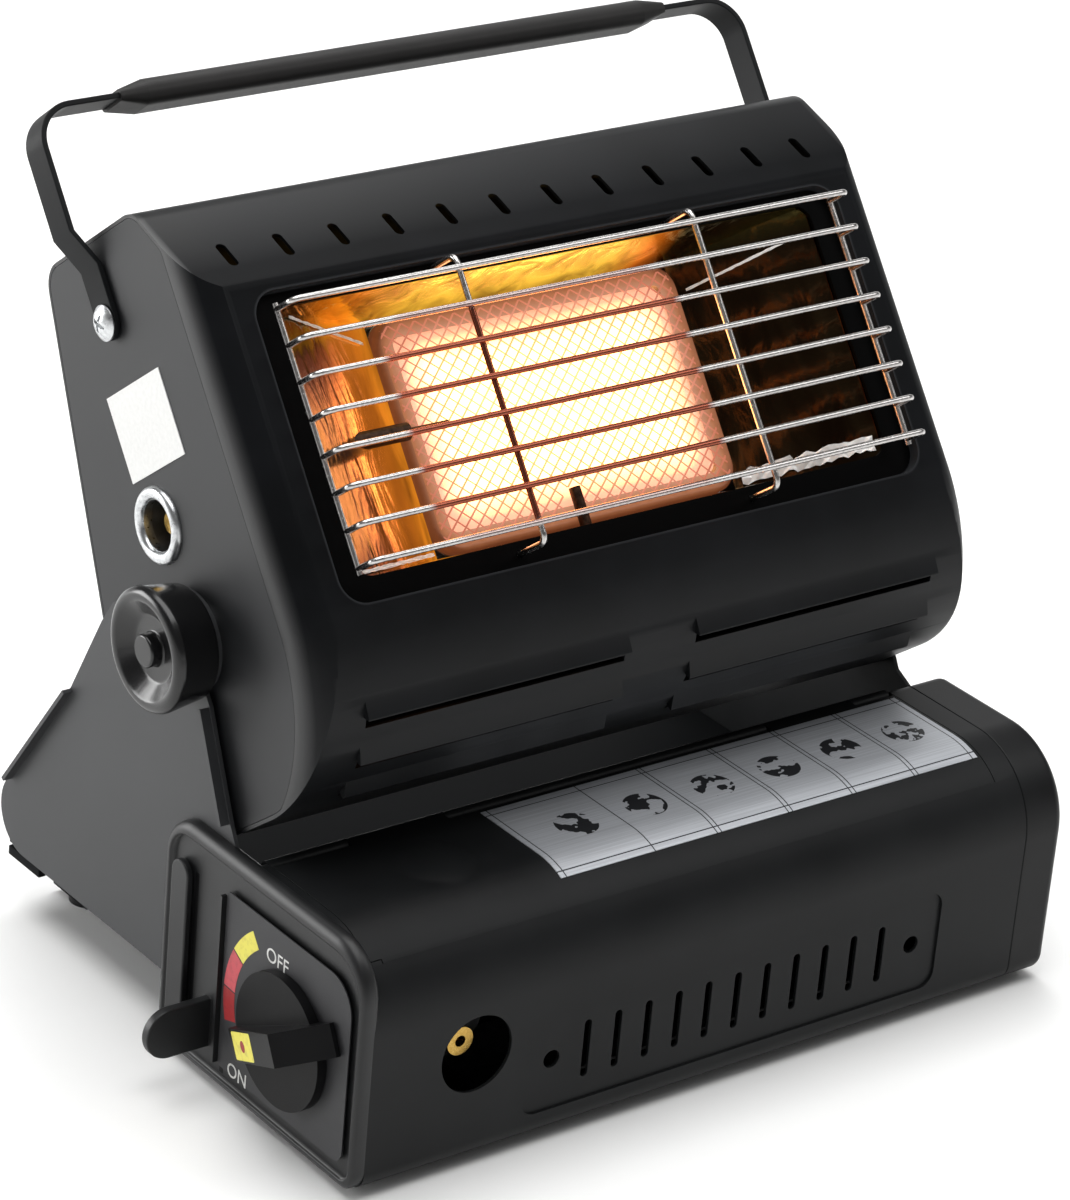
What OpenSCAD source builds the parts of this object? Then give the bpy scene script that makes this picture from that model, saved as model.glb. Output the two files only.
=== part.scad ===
/* [Base box] */
// Width of the base over both end caps
base_w = 294; // [280:1:310]
// Depth of the cartridge box, front to back
base_d = 70; // [70:0.5:76]
// Height of the cartridge box
base_h = 86; // [84:0.5:92]
// Radius of the rolled front top edge
roll_r = 30; // [24:0.5:34]
// Radius of the small edges of the pressed box
edge_r = 5.5; // [5.2:0.1:7]
// Thickness of the pressed sheet
sheet = 1.2; // [1:0.1:1.5]
// Height of the rubber feet
foot_h = 3; // [2:0.5:5]
// Depth of the right end cap along the box
cap_r_depth = 17.5; // [14:0.5:20]
// Rounding of the right end cap
cap_r_round = 4; // [3:0.5:5]
// Reach of the right end cap past the brackets' cap line
cap_r_over = 3.5; // [2:0.5:4]

/* [Front of the base] */
// Number of cooling slots
slot_n = 11; // [7:2:13]
// Spacing of the cooling slots
slot_pitch = 12.5; // [11:0.1:13]
// Width of a cooling slot
slot_w = 2.9; // [2:0.1:4]
// Height of a cooling slot
slot_h = 21.2; // [16:0.2:24]
// Middle of the slotted panel, right of the box's middle
slot_x = 9; // [0:0.5:12]
// Height of the slots' middle above the box's bottom
slot_z = 28; // [26:0.5:30]
// Distance of a round hole from the panel's middle
hole_x = 76.5; // [74:0.5:80]
// Radius of the round holes beside the slots
hole_r = 3.2; // [2:0.1:4]
// Width of the recessed panel
panel_w = 176; // [170:1:182]
// Height of the recessed panel
panel_h = 37; // [32:0.5:40]
// Depth of the recessed panel
panel_deep = 0.9; // [0.5:0.1:1.2]
// Place of the hose port, left of the box's middle
port_x = 98.9; // [97:0.1:101]
// Height of the hose port
port_z = 39.5; // [37:0.5:42]
// Radius of the hose port
port_r = 13.7; // [12:0.1:15]

/* [Lid] */
// Left end of the lid, from the box's middle
lid_left = 137; // [130:0.5:138]
// Right end of the lid, from the box's middle
lid_right = 123; // [118:0.5:126]
// Thickness of the lid sheet
lid_t = 1; // [0.8:0.1:1]
// Width of the notch in the lid's front left corner
notch_w = 5; // [3:0.5:8]
// Depth of the notch behind the front
notch_y = 10; // [8:0.5:14]
// Angle at which the lid ends on the rolled edge
lid_lip = 135; // [125:1:145]
// Radius of the hinge pin
pin_r = 1.25; // [1:0.05:1.5]
// Outside radius of the hinge knuckles
knuckle_r = 2.6; // [2.4:0.1:3]
// Radius of the pressed finger dome
dome_r = 15; // [10:0.5:16]
// Height of the pressed finger dome
dome_h = 2; // [1.5:0.1:2.5]
// Length of the foil label
label_w = 178.5; // [160:0.5:180]
// Width of the foil label on the flat top
label_d = 31.4; // [26:0.1:32]
// Angle of the foil label over the rolled edge
label_wrap = 25; // [10:1:35]

/* [Control end] */
// Depth of the left end cap, front to back
cap_d = 113; // [108:0.5:118]
// Thickness of the left end cap
cap_t = 7; // [6:0.5:8]
// Radius of the cap's rear top corner
cap_back_r = 14; // [10:0.5:20]
// Radius of the cap's front top corner
cap_front_r = 18; // [14:0.5:24]
// Radius of the rounded rim
rim_r = 2; // [1.5:0.1:2.5]
// Place of the control knob behind the front
knob_y = 39.9; // [38:0.1:42]
// Height of the control knob
knob_z = 37.3; // [36:0.1:40]
// Radius of the control knob's disc
knob_r = 23; // [20:0.5:24]
// Thickness of the control knob's disc
knob_t = 3.5; // [3:0.5:5]
// Reach of the knob's grip bar from the disc
grip_reach = 12; // [10:0.5:16]
// Height of the bar over the disc at its pointer end
grip_back = 3; // [2:0.5:5]
// Distance of the bar's ridge in front of the knob's axis
grip_ridge = 16; // [12:0.5:18]
// Reach of the bar's front end from the knob's axis
grip_front = 31.5; // [28:0.5:32]
// Width of the knob's grip bar
grip_w = 11; // [9:0.5:14]
// Angle of the knob's pointer in the lit position
grip_angle = -28; // [-35:1:-20]
// Radius of the valve spindle
spindle_r = 3; // [2.5:0.1:4]
// Distance of the lock lever in front of the cap's rear edge
lever_back = 26.4; // [25:0.1:28]
// Height of the lever's tongue
lever_h = 17.9; // [14:0.1:20]
// Thickness of the lever's tongue
lever_t = 3.4; // [2.5:0.1:4]
// Lowest point of the locked lever
lever_z = 10.5; // [8:0.5:12]
// Travel of the lever up to the unlocked end
lever_travel = 30; // [24:1:32]
// Reach of the lever beyond the cap's face
lever_reach = 20; // [16:0.5:22]

/* [Brackets] */
// Thickness of the bracket plates
bracket_t = 1.5; // [1.2:0.1:2]
// Width of the bracket's stiffening flanges
flange_w = 3.5; // [3:0.5:6]
// Tilt pivot behind the front of the base
pivot_y = 113; // [112:0.5:116]
// Tilt pivot above the box's bottom
pivot_z = 145; // [143:0.5:150]
// Radius of the pivot studs
stud_r = 4; // [3:0.1:5]
// Radius of the tilt knobs
tilt_r = 21.4; // [18:0.2:23]
// Thickness of the tilt knobs
tilt_t = 17.2; // [14:0.2:19]
// Rearmost point of the brackets
bracket_back = 222; // [216:1:230]
// Lower edge of the brackets behind the box
bracket_low = 21.4; // [18:0.2:24]

/* [Head] */
// Gap between the head and each bracket
head_gap = 2; // [1.5:0.1:3]
// Lean of the head's face from upright
lean = 37.7; // [30:0.1:45]
// Distance of the face in front of the pivot
face_a = 62; // [60:0.5:64]
// Height of the face's upper bend above the pivot
bend_b = 97; // [95:0.5:100]
// Height of the head's top above the pivot
top_b = 132; // [128:0.5:136]
// Depth of the head's bottom below the pivot
low_b = 63; // [60:0.5:63]
// Radius of the bulge under the face
bulge_r = 52.5; // [46:0.5:52.5]
// Distance of the side seam in front of the pivot
seam_a = 48; // [46:0.5:50]
// Recess of the frame round the opening
frame_deep = 4; // [2:0.5:5]
// Width of the face beside the recessed frame
face_edge = 17.5; // [16.5:0.5:19]
// Lower edge of the recessed frame
frame_low = -9.5; // [-10:0.5:-7]
// Upper edge of the recessed frame
frame_top = 93.5; // [92:0.5:93.5]
// Width of the recessed frame beside the opening
frame_w = 10; // [8:0.5:12]
// Lower edge of the opening
open_low = -1; // [-3:0.5:1]
// Upper edge of the opening
open_top = 88.5; // [86:0.5:89]
// Number of slots in the sloped top
top_slot_n = 12; // [8:1:12]
// Spacing of the slots in the sloped top
top_slot_pitch = 21.3; // [18:0.1:22]
// Length of a louvre
louvre_l = 104; // [80:1:106]
// Rise of a louvre's hood
louvre_h = 2.6; // [2:0.1:3]

/* [Burner] */
// Half width of the ceramic tile
tile_x = 56; // [50:0.5:58]
// Lower edge of the ceramic tile
tile_low = 8.5; // [6:0.5:10]
// Upper edge of the ceramic tile
tile_top = 76.5; // [70:0.5:78]
// Tile surface in front of the pivot
tile_a = 34.5; // [30:0.5:36]
// Thickness of the ceramic tile
tile_t = 12.5; // [10:0.5:14]
// Width of the frame round the tile
tile_rim = 6; // [5:0.5:6]
// Radius of the mixing tube
tube_r = 11; // [9:0.5:12]
// Height of the mixing tube above the pivot
tube_b = 38.5; // [36:0.5:42]
// Wire radius of the guard
wire_r = 1.05; // [0.9:0.05:1.3]
// Number of level guard wires
wire_n = 8; // [6:1:8]
// Spacing of the level guard wires
wire_pitch = 12.2; // [11.8:0.05:12.3]
// Guard wires in front of the pivot
wire_a = 75.8; // [73:0.2:77]
// Overlap of the guard past each side of the opening
guard_over = 4; // [3:0.5:5]
// Half distance of the upright guard wires
guard_mid = 48; // [40:0.5:52]
// Length of the bent wire ends
wire_bend = 10.6; // [8:0.2:11]

/* [Handle] */
// Handle screw in front of the pivot
screw_a = 6.9; // [4:0.1:9]
// Handle screw above the pivot
screw_b = 104.7; // [102:0.1:107]
// Height of the handle above its screws
handle_h = 72.5; // [66:0.5:78]
// Reach of the handle's legs past the head
handle_out = 8.5; // [6:0.5:10]
// Width of the handle's steel strip
strip_w = 12; // [10:0.5:14]
// Thickness of the handle's steel strip
strip_t = 2; // [1.6:0.1:2.5]
// Radius of the handle's bends
bail_r = 14; // [10:0.5:18]
// Distance of the grip's ends inside the legs
grip_end = 33; // [31:0.5:40]
// Height of the grip's section
grip_h = 9; // [7:0.5:11]
// Depth of the grip's section
grip_d = 16; // [14:0.5:18]

/* [Hidden] */
// Gap between pieces that move past each other
gap = 0.3;
// Radial play of a pin or shaft in its bore
play = 0.05;
half = base_w / 2;
cap_in = half - cap_t;
bracket_in = cap_in - bracket_t;
head_x = bracket_in - head_gap;
head_w = 2 * head_x;
frame_x = head_x - face_edge;
open_x = frame_x - frame_w;
guard_x = open_x + guard_over;
handle_x = head_x + handle_out;
grip_x = handle_x - grip_end;
lever_y = cap_d - lever_back;
// Reach of a cutting block past the whole heater
beyond = 2 * base_w;
right_x = half + cap_r_over;
shell_right = right_x - cap_r_depth - gap;
reach_left = half + lever_reach;
reach_right = cap_in + gap + tilt_t;
mid_x = (reach_right - reach_left) / 2;
mid_y = bracket_back / 2;
hinge_y = base_d - knuckle_r;
hinge_z = base_h - knuckle_r;
knuckle_bore = pin_r + play;
panel_x = half - 2 * rim_r + 1.2;
panel_in = panel_x - sheet;
seam_r = face_a - seam_a;
slope = [19.5, 28.5];
slope_run = slope[0] / slope[1];
slope_angle = atan2(slope[0], slope[1]);
front_y = -face_a;
back_slant = 0.2784;
back_y = 60.3;
back_low = [back_y + low_b * back_slant, -low_b];
back_top = [back_y - top_b * back_slant, top_b];
slope_top = [front_y + (top_b - bend_b) * slope_run, top_b];
head_pts = [[front_y, -low_b], back_low, back_top, slope_top, [front_y, bend_b]];
head_rad = [bulge_r, 50, 10, 10, 6];
bulge_c = [front_y + bulge_r, -low_b + bulge_r];
side_c = [10.8, bulge_c[1] + 1];
side_r = seam_a + side_c[0];
frame_y = front_y + frame_deep;
tile_y = -tile_a;
box_back = 9;
tube_y = 2.3;
box_pts = [[0, 0], [base_d, 0], [base_d, base_h], [0, base_h]];
box_rad = [7, edge_r, edge_r, roll_r];
cap_pts = [[0, 0], [cap_d, 0], [cap_d, base_h], [0, base_h]];
cap_rad = [8, 8, cap_back_r, cap_front_r];
pivot = [pivot_y, pivot_z];
$fn = 96;

// Corner points moved square to both sides of a convex outline
function unit(v) = v / norm(v);
function side(p, i) = unit(p[(i + 1) % len(p)] - p[i]);
function left_of(d) = [-d[1], d[0]];
function before(p, i) = left_of(side(p, (i + len(p) - 1) % len(p)));
function after(p, i) = left_of(side(p, i));
function inner(p, i, t) = p[i] + (before(p, i) + after(p, i)) * t / (1 + before(p, i) * after(p, i));

// Convex outline with its own radius at each corner, drawn smaller all round by inset
module outline(p, r, inset = 0) {
    c = [for (i = [0:len(p) - 1]) inner(p, i, r[i])];
    polygon([for (i = [0:len(p) - 1], n = [before(p, i), after(p, i)]) c[i] - n * (r[i] - inset)]);
    for (i = [0:len(p) - 1])
        translate(c[i]) circle(r[i] - inset);
}

// Round bar along the same outline, its middle inset by its own radius
module bead(p, r, b) {
    for (i = [0:len(p) - 1]) {
        c = inner(p, i, r[i]);
        d = inner(p, (i + 1) % len(p), r[(i + 1) % len(p)]);
        from = c - after(p, i) * (r[i] - b);
        to = d - after(p, i) * (r[(i + 1) % len(p)] - b);
        start = atan2(-before(p, i)[1], -before(p, i)[0]);
        turn = (atan2(-after(p, i)[1], -after(p, i)[0]) - start + 360) % 360;
        translate(c) rotate(start) rotate_extrude(angle = turn) translate([r[i] - b, 0])
            half_round(b, r[i]);
        translate(from) rotate(atan2(to[1] - from[1], to[0] - from[0])) rotate([0, 90, 0])
            cylinder(r = b, h = norm(to - from));
    }
}

// Round section that stays on one side of its turning axis
module half_round(b, r) {
    intersection() {
        circle(b);
        translate([b - r, -b]) square([2 * r, 2 * b]);
    }
}

// A profile of depth and height, drawn out along the width
module along_x(from, to) {
    translate([from, 0, 0]) rotate([90, 0, 90]) linear_extrude(to - from) children();
}

// A pin or bore along the width, at a depth and height
module rod_x(from, to, r, at) {
    translate([from, at[0], at[1]]) rotate([0, 90, 0]) cylinder(r = r, h = to - from);
}

// A pin or bore from front to back
module rod_y(from, to, r, at) {
    translate([at[0], from, at[1]]) rotate([-90, 0, 0]) cylinder(r = r, h = to - from);
}

// A rectangle with equal round corners, set out from its middle
module round_rect(w, h, r) {
    outline([[-w / 2, -h / 2], [w / 2, -h / 2], [w / 2, h / 2], [-w / 2, h / 2]], [r, r, r, r]);
}

// A flat outline seen from the front, given its depth
module upright(y, t) {
    translate([0, y + t, 0]) rotate([90, 0, 0]) linear_extrude(t) children();
}

module ring(r, hole) {
    difference() {
        circle(r);
        circle(hole);
    }
}

// From the base's own corner to the part's frame
module place() {
    translate([-mid_x, -mid_y, foot_h]) children();
}

// From the head's tilt pivot to the part's frame
module head_place() {
    place() translate([0, pivot_y, pivot_z]) rotate([-lean, 0, 0]) children();
}

module both_sides() {
    children();
    mirror([1, 0, 0]) children();
}

// Everything above the lid's lip and in front of its hinge
module lid_zone(drop) {
    c = [roll_r, base_h - roll_r];
    polygon([c, c + 3 * roll_r * [cos(lid_lip), sin(lid_lip)], [base_d + 1, 3 * base_h],
        [base_d + 1, hinge_z - drop],
        [roll_r, hinge_z - drop]]);
}

// Corner that the lid leaves to the shell beside the control end
module lid_notch(grow) {
    translate([-lid_left - 2, -1, 0]) cube([notch_w + 2 + grow, notch_y + 1 + grow, 2 * base_h]);
}

module knuckles(spans, leaf_y, leaf_z) {
    for (s = spans)
        difference() {
            union() {
                rod_x(s[0], s[1], knuckle_r, [hinge_y, hinge_z]);
                translate([s[0], leaf_y[0], leaf_z[0]])
                    cube([s[1] - s[0], leaf_y[1] - leaf_y[0], leaf_z[1] - leaf_z[0]]);
            }
            rod_x(s[0] - 1, s[1] + 1, knuckle_bore, [hinge_y, hinge_z]);
        }
}

knuckle_w = 38;
knuckle_mid = 30;
knuckle_in = knuckle_w + knuckle_mid;
knuckle_out = knuckle_in + knuckle_w;
lid_spans = [[-knuckle_out, -knuckle_in], [knuckle_in, knuckle_out]];
shell_spans = [[-lid_left, -knuckle_out - gap], [-knuckle_in + gap, knuckle_in - gap],
    [knuckle_out + gap, lid_right]];
leaf_w = 4.4;

module base_shell() {
    color("#26282a") place() {
        difference() {
            along_x(-cap_in, shell_right) difference() {
                outline(box_pts, box_rad);
                outline(box_pts, box_rad, sheet);
            }
            difference() {
                along_x(-lid_left - gap, lid_right + gap) lid_zone(knuckle_r + 1);
                lid_notch(-gap);
            }
            translate([slot_x, 0, slot_z]) upright(-1, sheet + 2) round_rect(panel_w, panel_h, 6);
            translate([-port_x, 0, port_z]) upright(-1, sheet + 2) circle(port_r);
            rod_y(base_d - sheet - 1, base_d + 1, pipe_r + gap, [-pipe_x, pipe_z]);
            tab_holes();
        }
        translate([slot_x, 0, slot_z]) difference() {
            upright(panel_deep, sheet) round_rect(panel_w + 2 * sheet, panel_h + 2 * sheet, 6 + sheet);
            for (i = [0:slot_n - 1])
                translate([(i - (slot_n - 1) / 2) * slot_pitch, 0, 0]) upright(-1, sheet + 3)
                    round_rect(slot_w, slot_h, slot_w / 2 - 0.05);
            for (x = [-hole_x, hole_x])
                rod_y(-1, sheet + 3, hole_r, [x, 0]);
        }
        knuckles(shell_spans, [base_d - sheet, base_d], [hinge_z - knuckle_r - 2, hinge_z]);
        along_x(-lid_left, lid_right) intersection() {
            translate([roll_r, base_h - roll_r]) ring(roll_r - sheet, roll_r - 2 * sheet);
            translate([roll_r, base_h - roll_r])
                polygon([[0, 0], 2 * roll_r * [cos(lid_lip + 20), sin(lid_lip + 20)],
                2 * roll_r * [cos(lid_lip), sin(lid_lip)], 2 * roll_r *
                    [cos(lid_lip - 8), sin(lid_lip - 8)]]);
        }
    }
}

module lid() {
    dome_at = [-90, 42];
    dome_ball = (dome_r * dome_r + dome_h * dome_h) / (2 * dome_h);
    color("#26282a") place() {
        difference() {
            along_x(-lid_left, lid_right) intersection() {
                difference() {
                    outline(box_pts, box_rad);
                    outline(box_pts, box_rad, lid_t);
                }
                lid_zone(-knuckle_r + 2 * lid_t);
                square([hinge_y - leaf_w + 0.4, base_h + 1]);
            }
            translate([dome_at[0], dome_at[1], base_h - dome_ball + dome_h]) sphere(dome_ball - lid_t);
            lid_notch(0);
        }
        difference() {
            intersection() {
                translate([dome_at[0], dome_at[1], base_h - dome_ball + dome_h]) sphere(dome_ball);
                translate([dome_at[0], dome_at[1], base_h - lid_t])
                    cylinder(r = 2 * dome_r, h = 2 * dome_h);
            }
            translate([dome_at[0], dome_at[1], base_h - dome_ball + dome_h]) sphere(dome_ball - lid_t);
        }
        knuckles(lid_spans, [hinge_y - leaf_w, hinge_y], [base_h - lid_t, base_h]);
    }
}

module lid_hinge_pin() {
    color("#b9bcc0") place() rod_x(-lid_left, lid_right, pin_r, [hinge_y, hinge_z]);
}

module lid_label() {
    label_t = 0.3;
    c = [roll_r, base_h - roll_r];
    turn = 90 + label_wrap;
    end = lid_right - 1.5;
    color("#c9ccd0") place() along_x(end - label_w, end) intersection() {
        difference() {
            outline(box_pts, box_rad, -label_t);
            outline(box_pts, box_rad);
        }
        polygon([c, c + 3 * roll_r * [cos(turn), sin(turn)], [roll_r + label_d, 3 * base_h],
            [roll_r + label_d, c[1]]]);
    }
}

slot_low = lever_z - 2;
slot_high = lever_z + lever_h + lever_travel + 2;

module left_end_cap() {
    bar_w = 10.5;
    bar_h = base_h - 18;
    color("#202224") place() {
        difference() {
            union() {
                along_x(-half + rim_r, -cap_in) difference() {
                    outline(cap_pts, cap_rad);
                    outline(cap_pts, cap_rad, 2 * rim_r);
                }
                along_x(-panel_x, -panel_in) outline(cap_pts, cap_rad, rim_r);
                translate([-half + rim_r, 0, 0]) rotate([90, 0, 90]) bead(cap_pts, cap_rad, rim_r);
                translate([-half + 0.8, lever_y - 9, 8]) cube([2.5, 1.4, base_h - 24]);
                along_x(-half + 0.8, -panel_in) translate([cap_d - 2 * rim_r - bar_w / 2, base_h / 2])
                    round_rect(bar_w, bar_h, bar_w / 2 - 0.1);
                along_x(-cap_in - sheet, -cap_in) intersection() {
                    difference() {
                        outline(cap_pts, cap_rad, rim_r);
                        outline(box_pts, box_rad, 2 * sheet);
                    }
                    translate([-1, base_h - roll_r - 1]) square(roll_r + 2);
                }
            }
            rod_x(-half - 1, -cap_in + 1, spindle_r + 2, [knob_y, knob_z]);
            translate([-half - 1, lever_y - lever_t / 2 - gap, slot_low])
                cube([cap_t + 2, lever_t + 2 * gap, slot_high - slot_low]);
        }
    }
}

plate_t = 0.4;

module control_panel() {
    color("#3a3c3f") place() difference() {
        along_x(-panel_x - plate_t, -panel_x)
            outline([[7, 7], [74, 7], [74, base_h - 7], [7, base_h - 7]], [5, 2, 2, cap_front_r - 7]);
        rod_x(-half, -cap_in, spindle_r + 2, [knob_y, knob_z]);
    }
}

module right_end_cap() {
    color("#26282a") place() {
        difference() {
            along_x(right_x - cap_r_depth, right_x - cap_r_round) difference() {
                outline(box_pts, box_rad);
                outline(box_pts, box_rad, sheet);
            }
            tab_holes();
        }
        difference() {
            union() {
                translate([right_x - cap_r_round, 0, 0]) rotate([90, 0, 90])
                    bead(box_pts, box_rad, cap_r_round);
                along_x(right_x - 2 * cap_r_round, right_x) outline(box_pts, box_rad, cap_r_round);
            }
            along_x(right_x - 3 * cap_r_round, right_x - cap_r_round) outline(box_pts, box_rad, sheet);
        }
    }
}

// Side plate that carries the tilt pivot, on the side away from the control end
module bracket() {
    foot_c = 15;
    top_c = 17;
    front = [[84, 92], [99.5, 127.4]];
    rear = [[181, 98], [bracket_back - 2.5, 45]];
    rear_share = 0.94;
    difference() {
        union() {
            along_x(bracket_in, cap_in) {
                polygon([[base_d, 6], [104, 6], [112, bracket_low], [bracket_back - foot_c, bracket_low],
                    [bracket_back, bracket_low + foot_c], rear[1], rear[0], [164.2, 129.7], [158, 139],
                    pivot + top_c * [cos(60), sin(60)], pivot, front[1], front[0], [80, 85],
                        [base_d, 80]]);
                translate([bracket_back - foot_c, bracket_low + foot_c]) circle(foot_c);
                translate(pivot) circle(top_c);
            }
            along_x(cap_in - bracket_t / 2, cap_in + flange_w) {
                strip(front[0], front[1], bracket_t);
                strip(rear[0], rear[0] + rear_share * (rear[1] - rear[0]), bracket_t);
            }
            translate([bracket_in - tab_w, base_d, 10]) cube([tab_w + bracket_t, bracket_t, 68]);
        }
        rod_x(bracket_in - 1, cap_in + 1, stud_r + play, pivot);
        for (z = screw_z)
            rod_y(base_d - 1, base_d + bracket_t + 1, screw_r, [screw_x, z]);
    }
}

// A straight band just to the right of the line from one point to the next
module strip(from, to, t) {
    run = norm(to - from);
    translate(from) rotate(atan2(to[1] - from[1], to[0] - from[0])) translate([gap, -t - gap])
        square([run - 2 * gap, t]);
}

tab_w = 20;
screw_x = bracket_in - tab_w / 2 - 2;
screw_z = [22, 62];
screw_r = 1.9;

// Screw holes of the brackets in the box's back wall
module tab_holes() {
    for (x = [-screw_x, screw_x], z = screw_z)
        rod_y(base_d - sheet - 1, base_d + 1, screw_r, [x, z]);
}

module left_bracket() {
    color("#5d6064") place() mirror([1, 0, 0]) bracket();
}

module right_bracket() {
    color("#5d6064") place() bracket();
}

// Half width of the brace's level foot
leg_x = bracket_in - 18.5;
// Front edge of the stand's floor, just behind the step in the brackets' lower edge
floor_y = 114;

module rear_brace() {
    brace_y = [bracket_back - 26, bracket_back - 4];
    brace = brace_y[1] - brace_y[0];
    hem = 3.4;
    color("#1d1e20") place() {
        translate([-leg_x, brace_y[0], 0]) cube([2 * leg_x, brace, bracket_t]);
        translate([-leg_x, brace_y[0], 0]) cube([2 * leg_x, bracket_t, bracket_low + bracket_t]);
        translate([-bracket_in, floor_y, bracket_low])
            cube([2 * bracket_in, brace_y[0] - floor_y + bracket_t, bracket_t]);
        both_sides() {
            translate([leg_x - bracket_t, brace_y[0], 0]) cube([bracket_t, brace, bracket_low]);
            translate([leg_x - bracket_t, brace_y[0], bracket_low])
                cube([bracket_in - leg_x + bracket_t, brace, bracket_t]);
            translate([bracket_in - bracket_t, brace_y[0], bracket_low]) cube([bracket_t, brace - 4, 16]);
            translate([bracket_in - bracket_t, brace_y[0], bracket_low - hem])
                cube([2 * bracket_t, brace - 2, hem]);
        }
    }
}

module rubber_feet() {
    color("#141414") place() both_sides() {
        translate([half - 37, 18, -foot_h]) cylinder(r = 7, h = foot_h);
        translate([leg_x - 8, bracket_back - 15, -foot_h]) cylinder(r = 7, h = foot_h);
    }
}

module bracket_screws() {
    color("#a9acb0") place() both_sides() for (z = screw_z) {
        rod_y(base_d - sheet, base_d + bracket_t, screw_r, [screw_x, z]);
        rod_y(base_d + bracket_t, base_d + bracket_t + 2.4, 3.8, [screw_x, z]);
    }
}

valve_x = [half - 11, half - 40];
valve_b = 24;

module gas_valve() {
    color("#b08d4a") place() difference() {
        translate([-valve_x[0], knob_y - valve_b / 2, knob_z - valve_b / 2])
            cube([valve_x[0] - valve_x[1], valve_b, valve_b]);
        rod_x(-valve_x[0] - 1, -valve_x[0] + 18, spindle_r + play, [knob_y, knob_z]);
    }
}

nipple_r = 5;
nipple_y = 9;
reg_x = [valve_x[1], port_x - 12];
reg_y = 24;

module regulator() {
    coupling_r = 14;
    color("#8f9296") place() difference() {
        union() {
            translate([-reg_x[0], reg_y, port_z - 15]) cube([reg_x[0] - reg_x[1], 28, 30]);
            rod_x(-reg_x[1], -reg_x[1] + 5, coupling_r, [base_d / 2, port_z]);
        }
        rod_x(-reg_x[1] - 4, -reg_x[1] + 6, 5, [base_d / 2, port_z]);
        rod_y(reg_y - 1, reg_y + 6, nipple_r - 1, [-port_x, port_z]);
    }
}

module hose_nipple() {
    color("#c79a45") place() difference() {
        union() {
            rod_y(nipple_y, reg_y - 4, nipple_r, [-port_x, port_z]);
            rod_y(reg_y - 4, reg_y, nipple_r + 2, [-port_x, port_z]);
            rod_y(reg_y, reg_y + 6, nipple_r - 1, [-port_x, port_z]);
        }
        rod_y(nipple_y - 1, reg_y + 7, 2, [-port_x, port_z]);
    }
}

pipe_r = 3;
pipe_x = half - 36.5;
pipe_z = knob_z;

module gas_pipe() {
    color("#b87346") place() difference() {
        union() {
            rod_y(knob_y + valve_b / 2, base_d + 8, pipe_r, [-pipe_x, pipe_z]);
            rod_y(base_d + 3, base_d + 8, pipe_r + 1.5, [-pipe_x, pipe_z]);
        }
        rod_y(knob_y, base_d + 9, pipe_r - 1, [-pipe_x, pipe_z]);
    }
}

module spark_igniter() {
    igniter_r = 6.5;
    igniter_at = [base_d - sheet - 8, sheet + igniter_r];
    color("#d8d4c8") place() {
        rod_x(-half + 12, -half + 40, igniter_r, igniter_at);
        rod_x(-half + 40, -half + 50, igniter_r - 2.5, igniter_at);
    }
}

cartridge_r = 33;

module cartridge_cradle() {
    trough_t = 0.8;
    axis = [base_d / 2, sheet + 1.5 + trough_t + cartridge_r];
    trough_x = [-reg_x[1] + 12, shell_right - 20];
    color("#7b7f84") place() {
        along_x(trough_x[0], trough_x[1]) intersection() {
            translate(axis) ring(cartridge_r + trough_t, cartridge_r);
            translate(axis) polygon([[0, 0], [-50, -70], [50, -70]]);
        }
        for (x = trough_x)
            along_x(x == trough_x[0] ? x : x - 2, x == trough_x[0] ? x + 2 : x) difference() {
                translate([axis[0] - 14, sheet]) square([28, 8]);
                translate(axis) circle(cartridge_r + 0.2);
            }
    }
}

module cartridge_stop() {
    stop_x = shell_right - 12;
    color("#8d9195") place() {
        translate([stop_x, base_d / 2 - 15, sheet]) cube([sheet, 30, 50]);
        translate([stop_x, base_d / 2 - 15, sheet]) cube([11, 30, sheet]);
    }
}

rail_t = 2;
slider_w = 17;

module lever_guide() {
    color("#2b2c2e") place() for (y =
        [lever_y - slider_w / 2 - gap - rail_t, lever_y + slider_w / 2 + gap])
        translate([-panel_in, y, 5]) cube([panel_in - cap_in - gap, rail_t, slot_high + 4]);
}

module lock_lever() {
    slider_t = 1.8;
    tongue_r = lever_h / 2;
    tip = half + lever_reach - tongue_r;
    color("#17181a") place() {
        translate([0, lever_y - lever_t / 2, 0]) upright(0, lever_t) {
            translate([-tip, lever_z]) square([tip - panel_in + gap, lever_h]);
            translate([-tip, lever_z + tongue_r]) circle(tongue_r);
        }
        translate([-panel_in + gap, lever_y - slider_w / 2, lever_z - 3])
            cube([slider_t, slider_w, lever_h + 6]);
    }
}

spindle_in = 5;

module control_knob() {
    back_x = panel_x + plate_t + gap;
    disc_x = back_x + knob_t;
    low = knob_t - gap;
    color("#1b1c1e") place() translate([0, knob_y, knob_z]) rotate([grip_angle, 0, 0]) difference() {
        union() {
            translate([-disc_x, 0, 0]) rotate([0, 90, 0]) cylinder(r = knob_r, h = knob_t);
            translate([-disc_x, 0, -grip_w / 2]) linear_extrude(grip_w)
                polygon([[low, -grip_front], [low / 2, -grip_front], [-grip_reach, -grip_ridge],
                    [-grip_back, knob_r - gap], [low, knob_r - gap]]);
        }
        rod_x(-disc_x - spindle_in, -back_x + 1, spindle_r, [0, 0]);
    }
}

module valve_spindle() {
    tip_x = panel_x + plate_t + gap + knob_t + spindle_in;
    color("#c2a35a") place() rod_x(-tip_x, -valve_x[0] + 17, spindle_r, [knob_y, knob_z]);
}

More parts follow.
